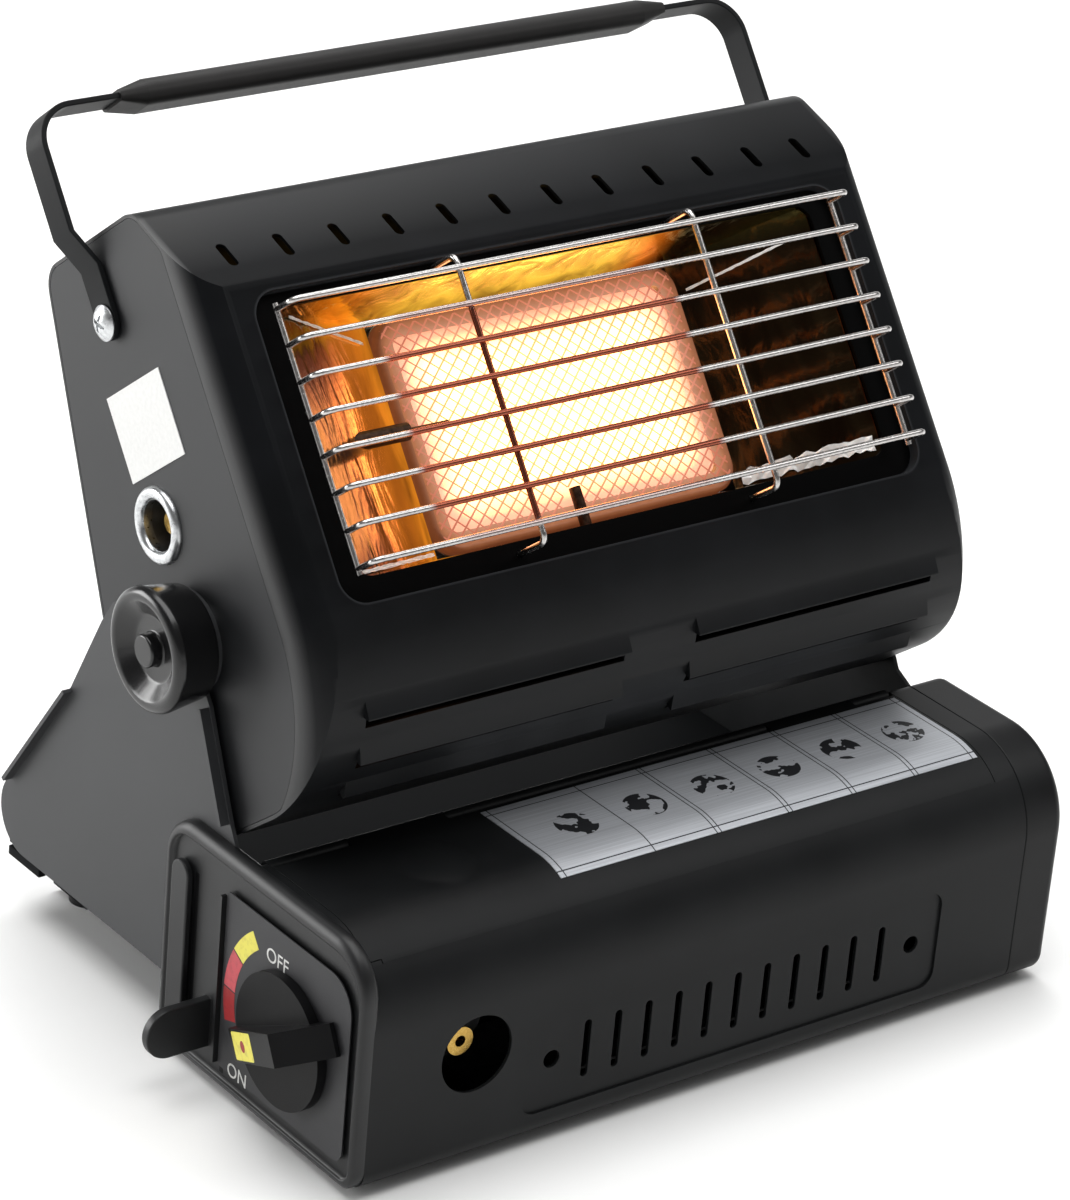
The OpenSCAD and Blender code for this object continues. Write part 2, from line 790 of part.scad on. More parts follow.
// Outside of the whole head: its side profile with the front's upright edges rolled back
module head_form(inset) {
    wide = head_w + 20;
    lead = 0.3;
    front = front_y - lead;
    roll = side_r + seam_r + lead;
    intersection() {
        along_x(-wide / 2, wide / 2) outline(head_pts, head_rad, inset);
        translate([0, 0, side_c[1]]) linear_extrude(2 * top_b)
            outline([[-head_x, front], [head_x, front], [head_x, 100], [-head_x, 100]],
                [seam_r, seam_r, 2, 2], inset);
    }
    intersection() {
        along_x(-wide / 2, wide / 2) outline(head_pts, head_rad, inset);
        translate([0, side_c[0], side_c[1]]) rotate([0, 90, 0]) rotate_extrude(angle = 180, start = -90)
            intersection() {
                outline([[-roll, -head_x], [roll, -head_x], [roll, head_x], [-roll, head_x]],
                    [seam_r, seam_r, seam_r, seam_r], inset);
                translate([0, -wide / 2]) square([2 * roll, wide]);
            }
    }
}

// Sheet skin of the head, before it is parted
module head_skin() {
    difference() {
        head_form(0);
        head_form(sheet);
    }
}

// Flat part of the head's side, inside the rolled edge
module side_outline(inset) {
    intersection() {
        outline(head_pts, head_rad, inset);
        union() {
            translate([-seam_a + inset - sheet, side_c[1]]) square([200, 200]);
            intersection() {
                translate(side_c) circle(side_r - inset + sheet);
                translate([-150, side_c[1] - 200]) square([300, 200]);
            }
        }
    }
}

// Behind this line the skin belongs to the back panel
module behind(shift) {
    polygon([[40 + shift, -100], [14 + shift, 160], [200, 160], [200, -100]]);
}

module side_pockets() {
    both_sides() along_x(head_x - sheet - 0.1, head_x + 1) side_outline(sheet);
}

module front_panel() {
    win = frame_top - frame_low;
    open_h = open_top - open_low;
    slot_b = bend_b + 12;
    step = 0.4;
    color("#2a2b2d") head_place() difference() {
        union() {
            difference() {
                head_skin();
                side_pockets();
                along_x(-head_x - 1, head_x + 1) behind(0);
            }
            translate([0, 0, frame_low + win / 2]) upright(front_y + step, frame_deep + sheet - step)
                round_rect(2 * frame_x + 2 * sheet, win + 2 * sheet, 9 + sheet);
            for (s = [-1, 1], f = louvre_angles)
                louvre_at(s, f) louvre();
        }
        translate([0, 0, frame_low + win / 2]) upright(front_y - 1, frame_deep + 1)
            round_rect(2 * frame_x, win, 9);
        translate([0, 0, open_low + open_h / 2]) upright(front_y - 1, frame_deep + sheet + 2)
            round_rect(2 * open_x, open_h, 6);
        for (x = [-guard_mid, guard_mid], b = [hook_low, hook_top])
            rod_y(front_y, frame_y + sheet + 1, wire_r + 0.2, [x, b]);
        for (i = [0:top_slot_n - 1])
            translate([(i - (top_slot_n - 1) / 2) * top_slot_pitch,
                front_y + (slot_b - bend_b) * slope_run, slot_b])
                rotate([-slope_angle, 0, 0]) upright(-6, 12) round_rect(3.6, 11, 1.75);
        for (s = [-1, 1], f = louvre_angles)
            louvre_at(s, f) translate([-louvre_l / 2 + 0.8, -bulge_r - louvre_h - 1, -4])
                cube([louvre_l - 1.6, louvre_h + sheet + 2, 3.8]);
    }
}

// Hood pressed out above a slit, open towards the bottom
module louvre() {
    along_x(-louvre_l / 2, louvre_l / 2)
        polygon([[-bulge_r + sheet, 7], [-bulge_r - louvre_h, 0.6], [-bulge_r - louvre_h, -0.2],
            [-bulge_r + sheet, -0.2]]);
}

louvre_angles = [38, 56, 74];
louvre_gap = 14;

// On the bulge, at an angle below the face, one of the two groups
module louvre_at(s, f) {
    translate([s * (louvre_gap + louvre_l / 2), bulge_c[0], bulge_c[1]]) rotate([f, 0, 0]) children();
}

module side_plate(eyelet) {
    difference() {
        union() {
            along_x(-head_x, -head_x + sheet) side_outline(sheet + 0.1);
            along_x(-head_x + sheet, -head_x + 9) difference() {
                side_outline(sheet + 0.1);
                side_outline(2 * sheet + 0.1);
                behind(-2);
                translate([-beyond / 2, -20]) square([beyond, 40]);
                translate([-beyond / 2, -20 - beyond]) square([beyond, beyond]);
                translate([-beyond, 0]) square([beyond, 110]);
            }
        }
        rod_x(-head_x - 1, -head_x + sheet + 1, stud_r, [0, 0]);
        rod_x(-head_x - 1, -head_x + sheet + 1, 2.5, [-screw_a, screw_b]);
        if (eyelet)
            rod_x(-head_x - 1, -head_x + sheet + 1, tube_r - 1.5, [tube_y, tube_b]);
    }
}

module left_side_plate() {
    color("#54575a") head_place() side_plate(true);
}

module right_side_plate() {
    color("#54575a") head_place() mirror([1, 0, 0]) side_plate(false);
}

module back_panel() {
    vent_n = 9;
    color("#2a2b2d") head_place() difference() {
        intersection() {
            head_skin();
            along_x(-head_x - 1, head_x + 1) behind(0.2);
        }
        side_pockets();
        for (i = [0:vent_n - 1])
            translate([(i - (vent_n - 1) / 2) * 22, 0, 98]) upright(10, 60) round_rect(4, 26, 1.9);
        for (x = [-back_screw_x, back_screw_x], b = back_screw_b)
            back_hole(x, b) cylinder(r = 1.7, h = 20, center = true);
    }
}

back_screw_x = head_x - 12.5;
back_screw_b = [5, 60, 115];

// Square to the slanted back, at a height above the pivot
module back_hole(x, b) {
    translate([x, back_y - b * back_slant, b]) rotate([-90 + atan(back_slant), 0, 0]) children();
}

module back_screws() {
    color("#a9acb0") head_place() for (x = [-back_screw_x, back_screw_x], b = back_screw_b)
        back_hole(x, b) {
            cylinder(r = 3.2, h = 1.8);
            translate([0, 0, -4]) cylinder(r = 1.6, h = 4);
        }
}

// Four sloped mirror walls from the opening to the tile
module funnel(t) {
    mouth = open_top - open_low;
    throat = tile_top - tile_low + 2 * tile_rim;
    hull() {
        translate([0, 0, (open_top + open_low) / 2]) upright(frame_y + sheet - 0.5, 0.5)
            square([2 * open_x + 2 * t, mouth + 2 * t], center = true);
        translate([0, 0, (tile_top + tile_low) / 2]) upright(tile_y, 0.5)
            square([2 * tile_x + 2 * tile_rim + 2 * t, throat + 2 * t], center = true);
    }
}

module reflector() {
    color("#c9ccd0") head_place() difference() {
        translate([0, sheet, 0]) funnel(0.8);
        translate([0, sheet, 0]) funnel(0);
        translate([0, 0, (open_top + open_low) / 2]) upright(frame_y - 1, sheet + 1.55)
            square([beyond, beyond], center = true);
        translate([0, 0, (tile_top + tile_low) / 2]) upright(tile_y, 5)
            square([2 * tile_x + 2 * tile_rim, tile_top - tile_low + 2 * tile_rim], center = true);
        rod_x(-head_x, 0, electrode_r + 0.1, electrode_at);
        translate([sensor_x, sensor_y, -5]) cylinder(r = sensor_r + 0.1, h = 40);
    }
}

module burner_box() {
    rim = tile_rim;
    box_w = 2 * tile_x + 2 * rim;
    box_b = tile_top - tile_low + 2 * rim;
    mid = (tile_top + tile_low) / 2;
    color("#8c8f92") head_place() difference() {
        translate([0, 0, mid]) upright(tile_y + 3, tile_a - 3 - box_back) round_rect(box_w, box_b, 8);
        translate([0, 0, mid]) upright(tile_y, tile_a - box_back - sheet)
            round_rect(box_w - 2 * sheet, box_b - 2 * sheet, 8 - sheet);
    }
}

module ceramic_tile() {
    color("#e8c9a0") head_place() translate([0, 0, (tile_top + tile_low) / 2]) upright(tile_y, tile_t)
        round_rect(2 * tile_x, tile_top - tile_low, 7);
}

module tile_frame() {
    mid = (tile_top + tile_low) / 2;
    outer_w = 2 * tile_x + 2 * tile_rim;
    outer_b = tile_top - tile_low + 2 * tile_rim;
    color("#77797c") head_place() difference() {
        union() {
            translate([0, 0, mid]) upright(tile_y - 1, 4) round_rect(outer_w - 0.4, outer_b - 0.4, 8);
            translate([0, 0, mid]) upright(tile_y + 3, tile_t - 1)
                round_rect(2 * tile_x + 2.4, tile_top - tile_low + 2.4, 8.2);
        }
        translate([0, 0, mid]) upright(tile_y, tile_t + 5)
            round_rect(2 * tile_x + 0.1, tile_top - tile_low + 0.1, 7);
        translate([0, 0, mid]) upright(tile_y - 2, tile_t)
            round_rect(2 * tile_x - 4, tile_top - tile_low - 4, 6);
    }
}

module mixing_tube() {
    end_x = -20;
    color("#8c8f92") head_place() difference() {
        union() {
            rod_x(-head_x + sheet, end_x, tube_r, [tube_y, tube_b]);
            translate([end_x - 24, -box_back, tube_b - 9]) cube([24, tube_y + box_back, 18]);
        }
        rod_x(-head_x, end_x - 1, tube_r - 1, [tube_y, tube_b]);
    }
}

module air_inlet_ring() {
    color("#d5d8da") head_place() translate([-head_x, tube_y, tube_b])
        rotate([0, 90, 0]) rotate_extrude() {
        translate([tube_r - 0.2, 0]) intersection() {
            circle(2.2);
            translate([-3, -3]) square([6, 3]);
        }
        translate([tube_r - 2.4, -0.5]) square([0.85, 3]);
    }
}

module injector() {
    bar_w = 4;
    bar_h = sqrt(pow(tube_r - 1, 2) - pow(bar_w / 2, 2)) - 0.02;
    color("#c79a45") head_place() {
        rod_x(-head_x + 4, -head_x + 20, 3.5, [tube_y, tube_b]);
        translate([-head_x + 10, tube_y - bar_w / 2, tube_b - bar_h]) cube([3, bar_w, 2 * bar_h]);
    }
}

electrode_r = 3;
electrode_at = [-tile_a - 7, 44];

module spark_electrode() {
    color("#ece8df") head_place() {
        rod_x(-tile_x - 36, -tile_x - 8, electrode_r, electrode_at);
        rod_x(-tile_x - 8, -tile_x + 8, 1, electrode_at);
    }
}

sensor_r = 2;
sensor_x = -6;
sensor_y = -tile_a - 4.5;

module flame_sensor() {
    color("#b0793f") head_place() translate([sensor_x, sensor_y, -8])
        cylinder(r = sensor_r, h = tile_low + 14);
}

hook_low = (frame_low + open_low) / 2;
hook_top = (frame_top + open_top) / 2;
wire_top = hook_top - 4.5;

// A quarter turn of wire from along the width to towards the back
module wire_corner(r) {
    rotate_extrude(angle = 90) translate([r, 0]) circle(wire_r, $fn = 24);
}

module wire_guard() {
    turn_r = 3;
    level_y = -wire_a;
    rod_at = level_y + 2 * wire_r - 0.15;
    color("#d9dcde") head_place() {
        for (i = [0:wire_n - 1])
            translate([0, level_y, wire_top - i * wire_pitch]) {
                rotate([0, 90, 0])
                    cylinder(r = wire_r, h = 2 * (guard_x - turn_r), center = true, $fn = 24);
                both_sides() {
                    translate([guard_x - turn_r, turn_r, 0]) rotate(-90) wire_corner(turn_r);
                    translate([guard_x, turn_r, 0]) rotate([-90, 0, 0])
                        cylinder(r = wire_r, h = wire_bend - turn_r, $fn = 24);
                }
            }
        both_sides() {
            translate([guard_x, level_y + wire_bend, wire_top - (wire_n - 1) * wire_pitch - 2])
                cylinder(r = wire_r, h = (wire_n - 1) * wire_pitch + 4, $fn = 24);
            translate([guard_mid, rod_at, hook_low + turn_r])
                cylinder(r = wire_r, h = hook_top - hook_low - 2 * turn_r, $fn = 24);
            for (b = [hook_low, hook_top])
                translate([guard_mid, rod_at + turn_r, b]) rotate([-90, 0, 0])
                    cylinder(r = wire_r, h = wire_a - face_a + frame_deep - turn_r + 4, $fn = 24);
            translate([guard_mid, rod_at + turn_r, hook_top - turn_r]) rotate([90, 0, 90]) rotate(90)
                wire_corner(turn_r);
            translate([guard_mid, rod_at + turn_r, hook_low + turn_r]) rotate([90, 0, 90]) rotate(180)
                wire_corner(turn_r);
        }
    }
}

module heat_shield() {
    shield_y = tube_y + tube_r + 2;
    color("#9a9da0") head_place() {
        translate([-head_x + sheet, shield_y, -30]) cube([head_w - 2 * sheet, 1, 130]);
        both_sides() translate([head_x - sheet - 1, shield_y, 20]) cube([1, 10, 60]);
    }
}

sticker_w = 36;
sticker_h = 29;

module side_sticker() {
    color("#e8e8e4") head_place() along_x(-head_x - 0.3, -head_x) translate([-26, 54.6])
        square([sticker_w, sticker_h]);
}

module pivot_studs() {
    color("#b9bcc0") head_place() both_sides() {
        rod_x(head_x, cap_in + gap + tilt_t - 7, stud_r, [0, 0]);
        rod_x(head_x - sheet - 3, head_x - sheet, 9, [0, 0]);
        rod_x(head_x - sheet, head_x, stud_r, [0, 0]);
    }
}

module pivot_washers() {
    color("#3c3a36") head_place() both_sides() translate([head_x, 0, 0]) rotate([0, 90, 0])
        linear_extrude(bracket_in - head_x - 0.2) ring(13, stud_r + play);
}

// Turned knob with a dished face and a centre button, its face away from the bracket
module tilt_knob() {
    bore_t = tilt_t - 6.5;
    translate([cap_in + gap, 0, 0]) rotate([0, 90, 0]) difference() {
        rotate_extrude() difference() {
            union() {
                outline([[-30, 0], [tilt_r - 2.5, 0], [tilt_r, tilt_t], [-30, tilt_t]], [1, 2, 3, 1]);
                square([stud_r, 1]);
            }
            translate([-100, -1]) square([100, tilt_t + 2]);
            polygon([[5.5, tilt_t - 4.5], [11, tilt_t - 4.5], [tilt_r - 4.5, tilt_t + 0.01],
                [5.5, tilt_t + 0.01]]);
        }
        translate([0, 0, -1]) cylinder(r = stud_r + play, h = bore_t + 1);
    }
}

module left_tilt_knob() {
    color("#1a1b1c") place() translate([0, pivot_y, pivot_z]) mirror([1, 0, 0]) tilt_knob();
}

module right_tilt_knob() {
    color("#1a1b1c") place() translate([0, pivot_y, pivot_z]) tilt_knob();
}

leg_in = head_x + gap;
leg_out = handle_x - strip_t;
jog_low = top_b - 9;
jog_top = top_b + 3;
bar_b = screw_b + handle_h;

module handle_bail() {
    color("#4a4d50") head_place() both_sides() difference() {
        union() {
            translate([0, -screw_a - strip_w / 2, 0]) upright(0, strip_w) {
                translate([leg_in, screw_b]) square([strip_t, jog_low - screw_b]);
                polygon([[leg_in, jog_low], [leg_in + strip_t, jog_low], [handle_x, jog_top],
                    [leg_out, jog_top]]);
                translate([leg_out, jog_top]) square([strip_t, bar_b - bail_r - jog_top]);
                intersection() {
                    translate([handle_x - bail_r, bar_b - bail_r]) ring(bail_r, bail_r - strip_t);
                    translate([handle_x - bail_r, bar_b - bail_r]) square(2 * bail_r);
                }
                translate([0, bar_b - strip_t]) square([handle_x - bail_r, strip_t]);
            }
            rod_x(leg_in, leg_in + strip_t, strip_w / 2, [-screw_a, screw_b]);
        }
        rod_x(leg_in - 1, leg_in + strip_t + 1, 2.5 + play, [-screw_a, screw_b]);
    }
}

module handle_grip() {
    taper = 10;
    mid = bar_b - strip_t / 2;
    color("#232426") head_place() difference() {
        union() {
            translate([0, -screw_a, mid]) along_x(-grip_x + taper, grip_x - taper)
                round_rect(grip_d, grip_h, 4);
            both_sides() hull() {
                translate([0, -screw_a, mid]) along_x(grip_x - taper - 0.1, grip_x - taper)
                    round_rect(grip_d, grip_h, 4, $fn = 32);
                translate([0, -screw_a, mid]) along_x(grip_x - 0.1, grip_x)
                    round_rect(grip_d - 2, grip_h - 5, 1.5, $fn = 32);
            }
        }
        translate([-grip_x - 1, -screw_a - strip_w / 2, bar_b - strip_t])
            cube([2 * grip_x + 2, strip_w, strip_t]);
    }
}

module handle_screws() {
    head_t = 2.8;
    head_r = 6;
    seat = leg_in + strip_t + gap;
    ball = (pow(head_r + 0.5, 2) + head_t * head_t) / (2 * head_t);
    color("#d5d8da") head_place() both_sides() translate([0, -screw_a, screw_b]) {
        rod_x(head_x - 8, seat, 2.5, [0, 0]);
        difference() {
            translate([seat, 0, 0]) rotate([0, 90, 0]) rotate_extrude() intersection() {
                translate([0, head_t - ball]) circle(ball);
                square([head_r, head_t]);
            }
            for (t = [45, 135])
                translate([seat + head_t, 0, 0]) rotate([t, 0, 0]) cube([2.4, 1.2, 6], center = true);
        }
    }
}

base_shell();
lid();
lid_hinge_pin();
lid_label();
left_end_cap();
control_panel();
right_end_cap();
left_bracket();
right_bracket();
rear_brace();
rubber_feet();
bracket_screws();
gas_valve();
regulator();
hose_nipple();
gas_pipe();
spark_igniter();
cartridge_cradle();
cartridge_stop();
lever_guide();
control_knob();
valve_spindle();
lock_lever();
front_panel();
left_side_plate();
right_side_plate();
back_panel();
back_screws();
reflector();
burner_box();
ceramic_tile();
tile_frame();
mixing_tube();
air_inlet_ring();
injector();
spark_electrode();
flame_sensor();
wire_guard();
heat_shield();
side_sticker();
pivot_studs();
pivot_washers();
left_tilt_knob();
right_tilt_knob();
handle_bail();
handle_grip();
handle_screws();
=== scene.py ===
from math import radians

import bmesh
import bpy
from mathutils import Matrix, Vector, noise


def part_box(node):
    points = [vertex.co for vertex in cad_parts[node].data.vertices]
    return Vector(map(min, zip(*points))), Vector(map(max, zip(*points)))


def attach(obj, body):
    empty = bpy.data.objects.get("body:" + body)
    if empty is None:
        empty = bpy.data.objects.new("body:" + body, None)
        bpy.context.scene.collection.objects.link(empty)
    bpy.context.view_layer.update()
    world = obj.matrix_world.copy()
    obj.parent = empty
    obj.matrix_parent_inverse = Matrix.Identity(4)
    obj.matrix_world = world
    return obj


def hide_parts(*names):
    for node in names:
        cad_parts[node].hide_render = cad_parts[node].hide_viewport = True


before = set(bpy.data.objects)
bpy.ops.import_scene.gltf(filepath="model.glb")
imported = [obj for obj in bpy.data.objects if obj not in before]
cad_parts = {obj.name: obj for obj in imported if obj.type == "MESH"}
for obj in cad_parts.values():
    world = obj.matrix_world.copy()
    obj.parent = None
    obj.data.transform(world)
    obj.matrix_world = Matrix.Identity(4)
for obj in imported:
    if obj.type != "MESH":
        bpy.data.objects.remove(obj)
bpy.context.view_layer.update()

# The studio: a white paper floor in a room with white walls and a dark ceiling, a very large soft
# box overhead, a low one at the left back for the sheen on the left plates, a small one for the
# head's top, two at the right for the foil and the back, and the camera above the front left.
MM = 0.001
FLOOR_HALF = 6.0
PULP = 40 * MM
WALL_LIGHT = 1.0
CEILING_LIGHT = 0.14
WALL_FADE = (0.06, 0.2)
CAMERA_AT = (-0.89481, -1.10964, 0.80570)
CAMERA_TURN = (64.6687, -4.6230, -36.7812)
SENSOR_HEIGHT = 36.0
LENS = 140.895
scene = bpy.context.scene
scene.view_settings.view_transform = "Standard"


def linear(colour):
    """An sRGB hex colour as linear red, green, blue and alpha."""
    parts = [int(colour[i:i + 2], 16) / 255 for i in (1, 3, 5)]
    return [p / 12.92 if p <= 0.04045 else ((p + 0.055) / 1.055) ** 2.4 for p in parts] + [1.0]


def plug(tree, entry, value):
    """Feeds an input with a value, or with a link where the value is another node's output."""
    if isinstance(value, bpy.types.NodeSocket):
        tree.links.new(value, entry)
    else:
        entry.default_value = value


def add(tree, kind, inputs=None, stops=(), **settings):
    """Adds one node with its own settings, its inputs, and the colour stops of a ramp."""
    new = tree.nodes.new("ShaderNode" + kind)
    for name, value in settings.items():
        setattr(new, name, value)
    for name, value in (inputs or {}).items():
        plug(tree, new.inputs[name], value)
    if stops:
        elements = new.color_ramp.elements
        for _ in stops[2:]:
            elements.new(1.0)
        for element, (place, colour) in zip(elements, stops):
            element.position = place
            element.color = linear(colour)
    return new


def new_material(name):
    """A new material and its tree, which starts with a Principled shader."""
    material = bpy.data.materials.new(name)
    material.use_nodes = True
    return material, material.node_tree


def set_surface(tree, **sockets):
    """Feeds sockets of a material's Principled shader."""
    for socket, value in sockets.items():
        plug(tree, tree.nodes["Principled BSDF"].inputs[socket.replace("_", " ")], value)


def mesh_object(name, mesh, material, smooth=False):
    """Closes a bmesh into an object at the origin, with its normals outwards and its material."""
    bmesh.ops.recalc_face_normals(mesh, faces=mesh.faces)
    data = bpy.data.meshes.new(name)
    mesh.to_mesh(data)
    mesh.free()
    data.materials.append(material)
    for polygon in data.polygons:
        polygon.use_smooth = smooth
    new = bpy.data.objects.new(name, data)
    scene.collection.objects.link(new)
    return new


paper, tree = new_material("matt_white_paper")
place = add(tree, "TexCoord").outputs["Object"]
pulp = add(tree, "TexNoise", {"Vector": place, "Scale": 1 / PULP, "Detail": 3.0}).outputs["Fac"]
tint = add(tree, "ValToRGB", {"Fac": pulp}, stops=((0.0, "#F9F9F8"), (1.0, "#FEFEFD")))
set_surface(tree, Base_Color=tint.outputs["Color"], Roughness=0.9, Specular_IOR_Level=0.1)
floor = bmesh.new()
bmesh.ops.create_grid(floor, x_segments=1, y_segments=1, size=FLOOR_HALF)
floor_object = mesh_object("studio_floor", floor, paper)

world = bpy.data.worlds.new("studio_room")
scene.world = world
world.use_nodes = True
tree = world.node_tree
look = add(tree, "TexCoord").outputs["Generated"]
rise = add(tree, "SeparateXYZ", {"Vector": look}).outputs["Z"]
room = add(tree, "MapRange", {"Value": rise, "From Min": WALL_FADE[0], "From Max": WALL_FADE[1],
                              "To Min": WALL_LIGHT, "To Max": CEILING_LIGHT})
plug(tree, tree.nodes["Background"].inputs["Color"], linear("#FFFFFF"))
plug(tree, tree.nodes["Background"].inputs["Strength"], room.outputs["Result"])


def soft_box(name, spot, aim, width, height, power):
    """A rectangular lamp at a spot, turned to the point it is aimed at."""
    lamp = bpy.data.lights.new(name, "AREA")
    lamp.shape = "RECTANGLE"
    lamp.size = width
    lamp.size_y = height
    lamp.energy = power
    box = bpy.data.objects.new(name, lamp)
    scene.collection.objects.link(box)
    box.location = spot
    box.rotation_euler = (Vector(aim) - Vector(spot)).to_track_quat("-Z", "Y").to_euler()
    box.visible_camera = False


soft_box("overhead_box", (-0.2, 0.4, 3.0), (-0.2, 0.4, 0.0), 3.2, 3.2, 122.0)
soft_box("left_low_box", (-1.2, 1.4, 0.45), (-0.1, 0.0, 0.1), 1.0, 0.8, 22.0)
soft_box("head_top_box", (0.24, 0.28, 0.85), (-0.1, 0.06, 0.28), 0.26, 0.3, 0.95)
soft_box("front_right_box", (1.1, -0.7, 1.5), (0.0, -0.05, 0.08), 0.8, 0.8, 5.0)
soft_box("back_right_panel", (1.5, 1.9, 1.15), (0.0, 0.0, 0.1), 1.6, 1.1, 6.0)

camera_data = bpy.data.cameras.new("camera")
camera_data.sensor_fit = "VERTICAL"
camera_data.sensor_height = SENSOR_HEIGHT
camera_data.lens = LENS
camera = bpy.data.objects.new("camera", camera_data)
scene.collection.objects.link(camera)
camera.location = CAMERA_AT
camera.rotation_euler = [radians(turn) for turn in CAMERA_TURN]
scene.camera = camera

# The base: a folded sheet steel box with a rolled front edge, its hinged lid, the two upright
# brackets and the brace between them. All are pressed and powder coated satin black, which
# leaves a fine orange peel and a soft broken gloss. The left bracket's coat is painted paler and
# glossier as painted sheen from the left, the right bracket wears the shell's darker coat as
# painted shade, and the brace's coat, darker and the dullest, is painted shade under the head.
CLOUD = 35 * MM
PEEL = 1.1 * MM
GRIT = 0.35 * MM
GLOSS_SPREAD = 0.05
SHEET_EDGE = 0.35 * MM
TOUCHING = 0.001 * MM
FLAT_ANGLE = radians(0.4)
SHARP_ANGLE = radians(32)
EVEN_WEIGHT = 80


def powder_coat(name, dark, pale, rough, specular):
    """Black powder coat: slight clouding, orange peel of about a millimetre, fine grit."""
    material, tree = new_material(name)
    place = add(tree, "TexCoord").outputs["Object"]
    cloud = add(tree, "TexNoise", {"Vector": place, "Scale": 1 / CLOUD, "Detail": 4.0}).outputs["Fac"]
    tone = add(tree, "ValToRGB", {"Fac": cloud}, stops=((0.3, dark), (0.7, pale)))
    gloss = add(tree, "MapRange", {"Value": cloud, "To Min": rough - GLOSS_SPREAD,
                                   "To Max": rough + GLOSS_SPREAD})
    peel = add(tree, "TexNoise", {"Vector": place, "Scale": 1 / PEEL, "Detail": 1.0}).outputs["Fac"]
    grit = add(tree, "TexNoise", {"Vector": place, "Scale": 1 / GRIT, "Detail": 0.0}).outputs["Fac"]
    both = add(tree, "Math", {0: peel, 1: grit}, operation="ADD").outputs["Value"]
    bump = add(tree, "Bump", {"Height": both, "Strength": 0.12, "Distance": 0.05 * MM})
    set_surface(tree, Base_Color=tone.outputs["Color"], Roughness=gloss.outputs["Result"],
                Normal=bump.outputs["Normal"], Specular_IOR_Level=specular)
    return material


def dress(material, *names):
    """Gives CAD nodes their finish."""
    for name in names:
        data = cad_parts[name].data
        data.materials.clear()
        data.materials.append(material)


def ease_edges(width, *names):
    """Rounds the sharp edges of CAD nodes a little, so that they catch the light as real ones do."""
    for name in names:
        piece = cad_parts[name]
        weld = piece.modifiers.new("join_facets", "WELD")
        weld.merge_threshold = TOUCHING
        flat = piece.modifiers.new("clear_flat_faces", "DECIMATE")
        flat.decimate_type = "DISSOLVE"
        flat.angle_limit = FLAT_ANGLE
        bevel = piece.modifiers.new("eased_edges", "BEVEL")
        bevel.width = width
        bevel.segments = 2
        bevel.limit_method = "ANGLE"
        bevel.angle_limit = SHARP_ANGLE
        bevel.miter_outer = "MITER_ARC"
        smooth = piece.modifiers.new("even_shading", "WEIGHTED_NORMAL")
        smooth.weight = EVEN_WEIGHT
        smooth.keep_sharp = False


base_coat = powder_coat("satin_black_powder_coat", "#121314", "#191A1B", 0.43, 0.16)
# The right bracket wears the shell's darker coat as painted shade.
dress(base_coat, "base_shell", "lid", "right_bracket")
# The brace's darker, duller coat is painted shade under the head.
brace_painted_shade_coat = powder_coat("dull_black_brace_painted_shade", "#0F1011", "#151617", 0.65, 0.05)
dress(brace_painted_shade_coat, "rear_brace")
# The left bracket's paler, glossier coat is painted sheen from the left.
left_bracket_painted_sheen_coat = powder_coat("black_powder_coat_painted_left_sheen", "#242527", "#2D2E30", 0.51, 0.5)
dress(left_bracket_painted_sheen_coat, "left_bracket")
ease_edges(SHEET_EDGE, "base_shell", "lid", "left_bracket", "rear_brace")

# The lid's label: a thin printed foil stuck on the lid and over the first part of the roll.
# It looks like brushed aluminium and has a ruled border, fields and plain blots in dark ink.
# The rules between the fields and the blots are placed by shares of the label's width.
LABEL_LOW, LABEL_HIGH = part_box("lid_label")
LABEL_W = LABEL_HIGH.x - LABEL_LOW.x
RULE = 0.45 * MM
BORDER_X = (2.2 * MM, 176.3 * MM)
BORDER_Y = (2.4 * MM, 41.0 * MM)
FIELD_RULES = (0.215, 0.36, 0.37, 0.53, 0.54, 0.685, 0.695, 0.84, 0.85)
BLOTS = (0.13, 0.29, 0.45, 0.61, 0.765, 0.92)
BLOT_Y = 23 * MM
BLOT_R = 7.5 * MM
BLOT_LUMP = 6 * MM
BLOT_SHARE = 0.49
BRUSH_MARK = (60 * MM, 0.5 * MM)
foil, tree = new_material("brushed_aluminium_foil")
place = add(tree, "TexCoord").outputs["Object"]
brush = add(tree, "Mapping", {"Vector": place, "Scale": (1 / BRUSH_MARK[0], 1 / BRUSH_MARK[1], 1.0)})
drawn = brush.outputs["Vector"]
grain = add(tree, "TexNoise", {"Vector": drawn, "Scale": 1.0, "Detail": 4.0}).outputs["Fac"]
sheen = add(tree, "ValToRGB", {"Fac": grain}, stops=((0.3, "#AEB1B6"), (0.7, "#C6C9CE"))).outputs["Color"]
axes = add(tree, "SeparateXYZ", {"Vector": place})
rules = [("X", LABEL_LOW.x + share * LABEL_W) for share in FIELD_RULES]
rules += [("X", LABEL_LOW.x + inset) for inset in BORDER_X]
rules += [("Y", LABEL_LOW.y + inset) for inset in BORDER_Y]
marks = []
for axis, at in rules:
    line = add(tree, "Math", {0: axes.outputs[axis], 1: at, 2: RULE / 2}, operation="COMPARE")
    marks.append(line.outputs["Value"])
flat = add(tree, "VectorMath", {0: place, 1: (1, 1, 0)}, operation="MULTIPLY").outputs["Vector"]
lumps = add(tree, "TexNoise", {"Vector": flat, "Scale": 1 / BLOT_LUMP, "Detail": 2.0}).outputs["Fac"]
inked = add(tree, "Math", {0: lumps, 1: BLOT_SHARE}, operation="GREATER_THAN").outputs["Value"]
